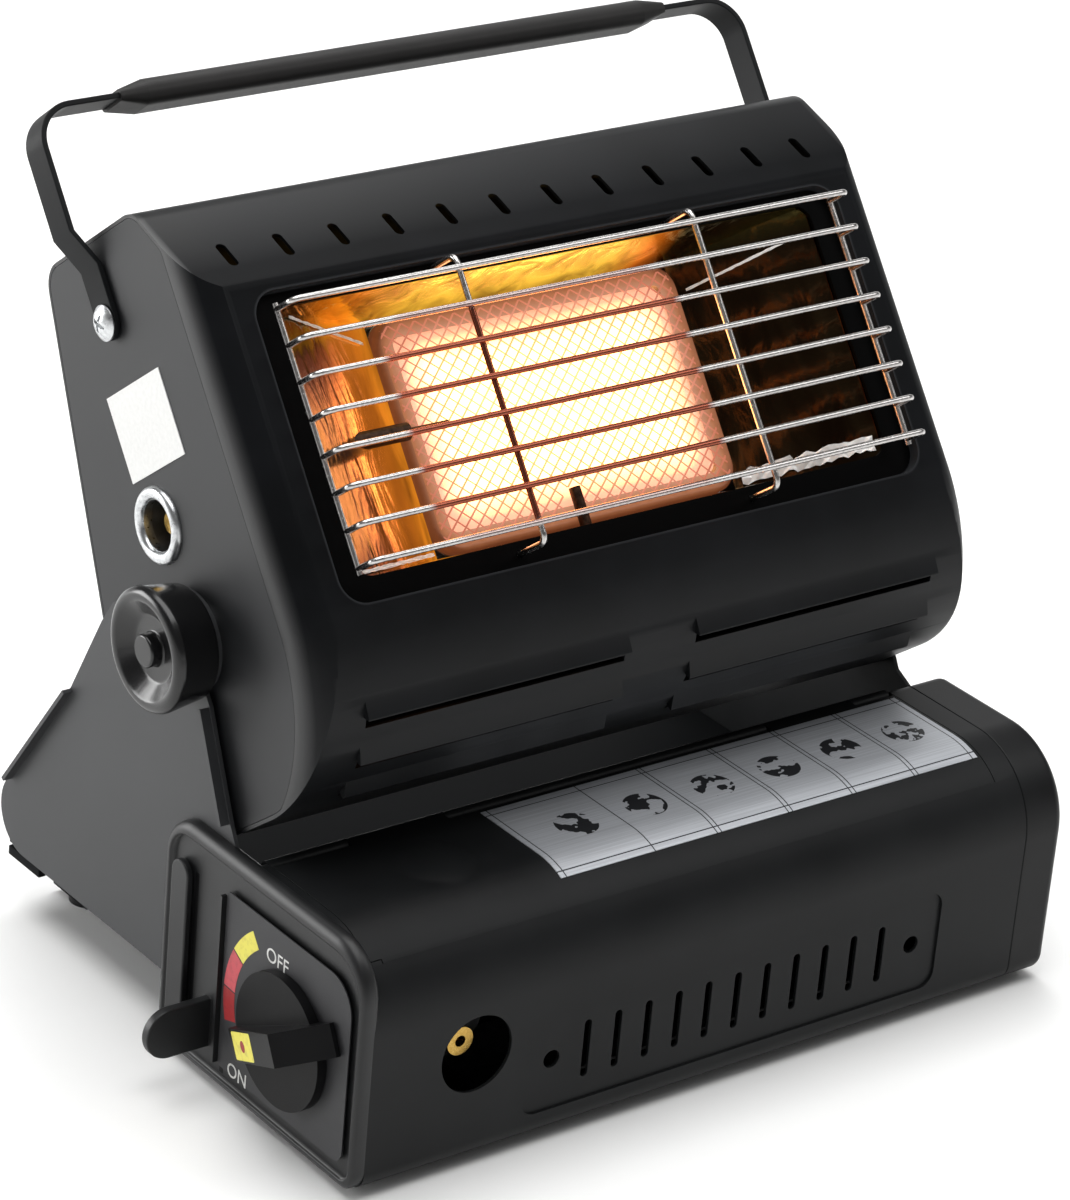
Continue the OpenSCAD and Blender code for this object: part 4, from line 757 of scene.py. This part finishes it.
# The emission is painted glow: the burner's light on the rim, palest by the mouth.
glow_ramp = add(tree, "ValToRGB", {"Fac": share}, stops=((0.3, "#D8A184"), (0.75, "#B87650"), (1.0, "#6E3A20")))
set_surface(tree, Base_Color=tone.outputs["Color"], Roughness=0.6, Metallic=0.3,
            Emission_Color=glow_ramp.outputs["Color"], Emission_Strength=0.8)
rim_object = mesh_object("burner_rim", rim, rim_steel, smooth=True)
rim_object.modifiers.new("sheet_thickness", "SOLIDIFY").thickness = RIM_T
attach(rim_object, "head")
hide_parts("tile_frame")

# The reflector: bright steel sheet folded round the burner, dented in the folding and tinted by
# the heat. Over that go painted tints, each an axis, the stretch over which it grows in
# millimetres, its strength and its colour: a pale yellow band of painted reflection over the top
# and dark bands of painted shade at the left and right. The light it throws back is helped by a
# glow beside and above the plaque, which is painted reflection.
DENT = 11 * MM
DENT_STRETCH = (1.0, 1.0, 0.3)
DENT_DEEP = 0.8 * MM
BOW_MARGIN = 20 * MM
BOW_DEEP = 4 * MM
MIRROR_PAINTED_TINTS = (("Z", 37, 43, 0.7, "#FFF080"), ("X", -82, -97, 0.85, "#2E1A10"),
                 ("X", 48, 64, 0.92, "#1A120E"))
GLOW_ACROSS = (-108 * MM, 64 * MM)
GLOW_UPPER = (38 * MM, 42 * MM)
mirror, tree = new_material("heat_tinted_bright_steel")
local = head_coordinates(tree, (0, 0, PLAQUE_Z))
drawn = add(tree, "Mapping", {"Vector": local, "Scale": DENT_STRETCH}).outputs["Vector"]
dents = add(tree, "TexNoise", {"Vector": drawn, "Scale": 1 / DENT, "Detail": 3.0,
                               "Distortion": 0.6}).outputs["Fac"]
tint = add(tree, "ValToRGB", {"Fac": dents}, stops=((0.3, "#8E6238"), (0.7, "#D8B078"))).outputs["Color"]
spot = add(tree, "SeparateXYZ", {"Vector": local})
# Pale yellow painted reflection over the top, dark painted shade at the left and right.
for axis, start, end, strength, colour in MIRROR_PAINTED_TINTS:
    tint_and_painted_light = add(tree, "MapRange", {"Value": spot.outputs[axis], "From Min": start * MM,
                                   "From Max": end * MM, "To Max": strength}).outputs["Result"]
    tint = add(tree, "Mix", {"Factor": tint_and_painted_light, "A": tint, "B": linear(colour)}, data_type="RGBA").outputs[2]
gloss = add(tree, "MapRange", {"Value": dents, "To Min": 0.06, "To Max": 0.2})
away = edge_distance(tree, local, PLAQUE_HALF, BOW_MARGIN)
bowed = add(tree, "Math", {0: away, 1: BOW_DEEP}, operation="MULTIPLY").outputs["Value"]
beaten = add(tree, "Math", {0: dents, 1: DENT_DEEP, 2: bowed}, operation="MULTIPLY_ADD").outputs["Value"]
bump = add(tree, "Bump", {"Height": beaten, "Strength": 1.0, "Distance": 1.0})
# A painted reflection of the plaque's glow beside and above it.
across = add(tree, "MapRange", {"Value": spot.outputs["X"], "From Min": GLOW_ACROSS[0],
                                "From Max": GLOW_ACROSS[1]}).outputs["Result"]
beside = add(tree, "ValToRGB", {"Fac": across}, stops=(
    (0.02, "#000000"), (0.1, "#2A0C02"), (0.22, "#C87018"), (0.285, "#E89020"), (0.3, "#000000")))
above = add(tree, "ValToRGB", {"Fac": across}, stops=(
    (0.08, "#000000"), (0.2, "#C86A14"), (0.35, "#E8B838"), (0.8, "#F0C440"), (0.9, "#B85A10"),
    (0.97, "#000000")))
upper = add(tree, "MapRange", {"Value": spot.outputs["Z"], "From Min": GLOW_UPPER[0],
                               "From Max": GLOW_UPPER[1]}).outputs["Result"]
painted_reflection_glow = add(tree, "Mix", {"Factor": upper, "A": beside.outputs["Color"], "B": above.outputs["Color"]},
           data_type="RGBA")
flicker = add(tree, "MapRange", {"Value": dents, "From Min": 0.3, "From Max": 0.65, "To Min": 0.3})
set_surface(tree, Base_Color=tint, Metallic=1.0, Roughness=gloss.outputs["Result"],
            Normal=bump.outputs["Normal"], Emission_Color=painted_reflection_glow.outputs[2],
            Emission_Strength=flicker.outputs["Result"])
dress(mirror, "reflector")

# The reflector's creases: strips of its sheet crumpled where the corners are folded, coloured
# near white as painted highlight, the overhead light seen in them. Each runs from a start to an
# end, both in the head's frame, with its width, in millimetres.
CREASES = (((66, -35.4, 72), (103, -53.4, 79), 0.9), ((-66, -35.4, 76), (-101, -52.4, 86), 0.9),
           ((64, -35.0, 5.5), (107, -55.6, 4), 5.0), ((-64, -35.0, 4), (-107, -55.6, 1), 1.2))
CREASE_T = 0.3 * MM
CRUMPLE = 0.25
CRUMPLE_TO = Vector((0.4, -0.9, 1.0))
RIPPLES = 40
RIPPLES_ACROSS = 9
creases = bmesh.new()
for start, end, width in CREASES:
    run = (Vector(end) - Vector(start)) * MM
    strip = bmesh.ops.create_grid(creases, x_segments=24, y_segments=3, size=0.5)["verts"]
    for vertex in strip:
        u = vertex.co.x + 0.5
        v = vertex.co.y
        wave = noise.noise((RIPPLES * u, RIPPLES_ACROSS * v, width)) * CRUMPLE * width * MM
        vertex.co = Vector(start) * MM + run * u + Vector((0, 0, v * width * MM)) + CRUMPLE_TO * wave
bmesh.ops.transform(creases, verts=creases.verts, matrix=head_place)
# Near white strips: painted highlight.
crease_painted_white = bare_metal("crumpled_steel_painted_highlight", "#EDEBE6", "#FFFFFF", 0.35, 1.5 * MM)
set_surface(crease_painted_white.node_tree, Metallic=0.1)
crease_object = mesh_object("reflector_creases_painted_highlight", creases, crease_painted_white)
crease_object.modifiers.new("sheet_thickness", "SOLIDIFY").thickness = CREASE_T
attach(crease_object, "head")

# The spark electrode and the flame sensor: steel rods that stand in the flame and are scorched
# dark brown.
scorched = bare_metal("scorched_heat_steel", "#2A211C", "#4A3A30", 0.45, 1.5 * MM)
dress(scorched, "spark_electrode", "flame_sensor")

# The wire guard: drawn steel wire, welded at the crossings and nickel plated. In front of the
# plaque the plating is turned dark red brown, partly heat tint and partly painted glow of the
# burner's light.
TINT_AND_GLOW_AT = Vector((-28.8, 0.0, 37.8)) * MM
TINT_AND_GLOW_HALF = PLAQUE_HALF + Vector((4, 0, 4)) * MM
TINT_AND_GLOW_FADE = 14 * MM
guard_wire = bare_metal("nickel_plated_wire", "#B3B0AE", "#D5D2D0", 0.24, 1.0 * MM)
tree = guard_wire.node_tree
share = edge_distance(tree, head_coordinates(tree, TINT_AND_GLOW_AT), TINT_AND_GLOW_HALF, TINT_AND_GLOW_FADE)
# Red brown in front of the plaque: heat tint and painted glow of the burner's light.
tint_and_painted_light = add(tree, "ValToRGB", {"Fac": share}, stops=((0.75, "#FFFFFF"), (1.0, "#000000"))).outputs["Color"]
plating = coat_colour(guard_wire)
heat_tint_and_painted_glow = add(tree, "Mix", {"Factor": tint_and_painted_light, "A": plating, "B": linear("#9A5643")}, data_type="RGBA")
set_surface(tree, Base_Color=heat_tint_and_painted_glow.outputs[2])
dress(guard_wire, "wire_guard")

# The tilt knobs: turned-looking black phenolic mouldings screwed on the pivot studs, glossy and
# well rounded, so that their rims catch the light.
KNOB_EDGE = 0.9 * MM
phenolic = moulded_abs("glossy_black_phenolic", "#0C0C0D", "#121213", 0.24, 0.5, 0.6 * MM)
dress(phenolic, "left_tilt_knob", "right_tilt_knob")
ease_edges(KNOB_EDGE, "left_tilt_knob", "right_tilt_knob")

# The carrying handle: a bent steel strip, painted, with a moulded grip on its crossbar, held by
# two screws to the head's sides.
HANDLE_EDGE = 0.4 * MM
handle_coat = powder_coat("handle_satin_black", "#131415", "#191A1B", 0.45, 0.1)
dress(handle_coat, "handle_bail")
grip_plastic = moulded_abs("matt_black_grip_plastic", "#100F0E", "#181615", 0.55, 0.35, 0.8 * MM)
dress(grip_plastic, "handle_grip")
ease_edges(HANDLE_EDGE, "handle_bail", "handle_screws")
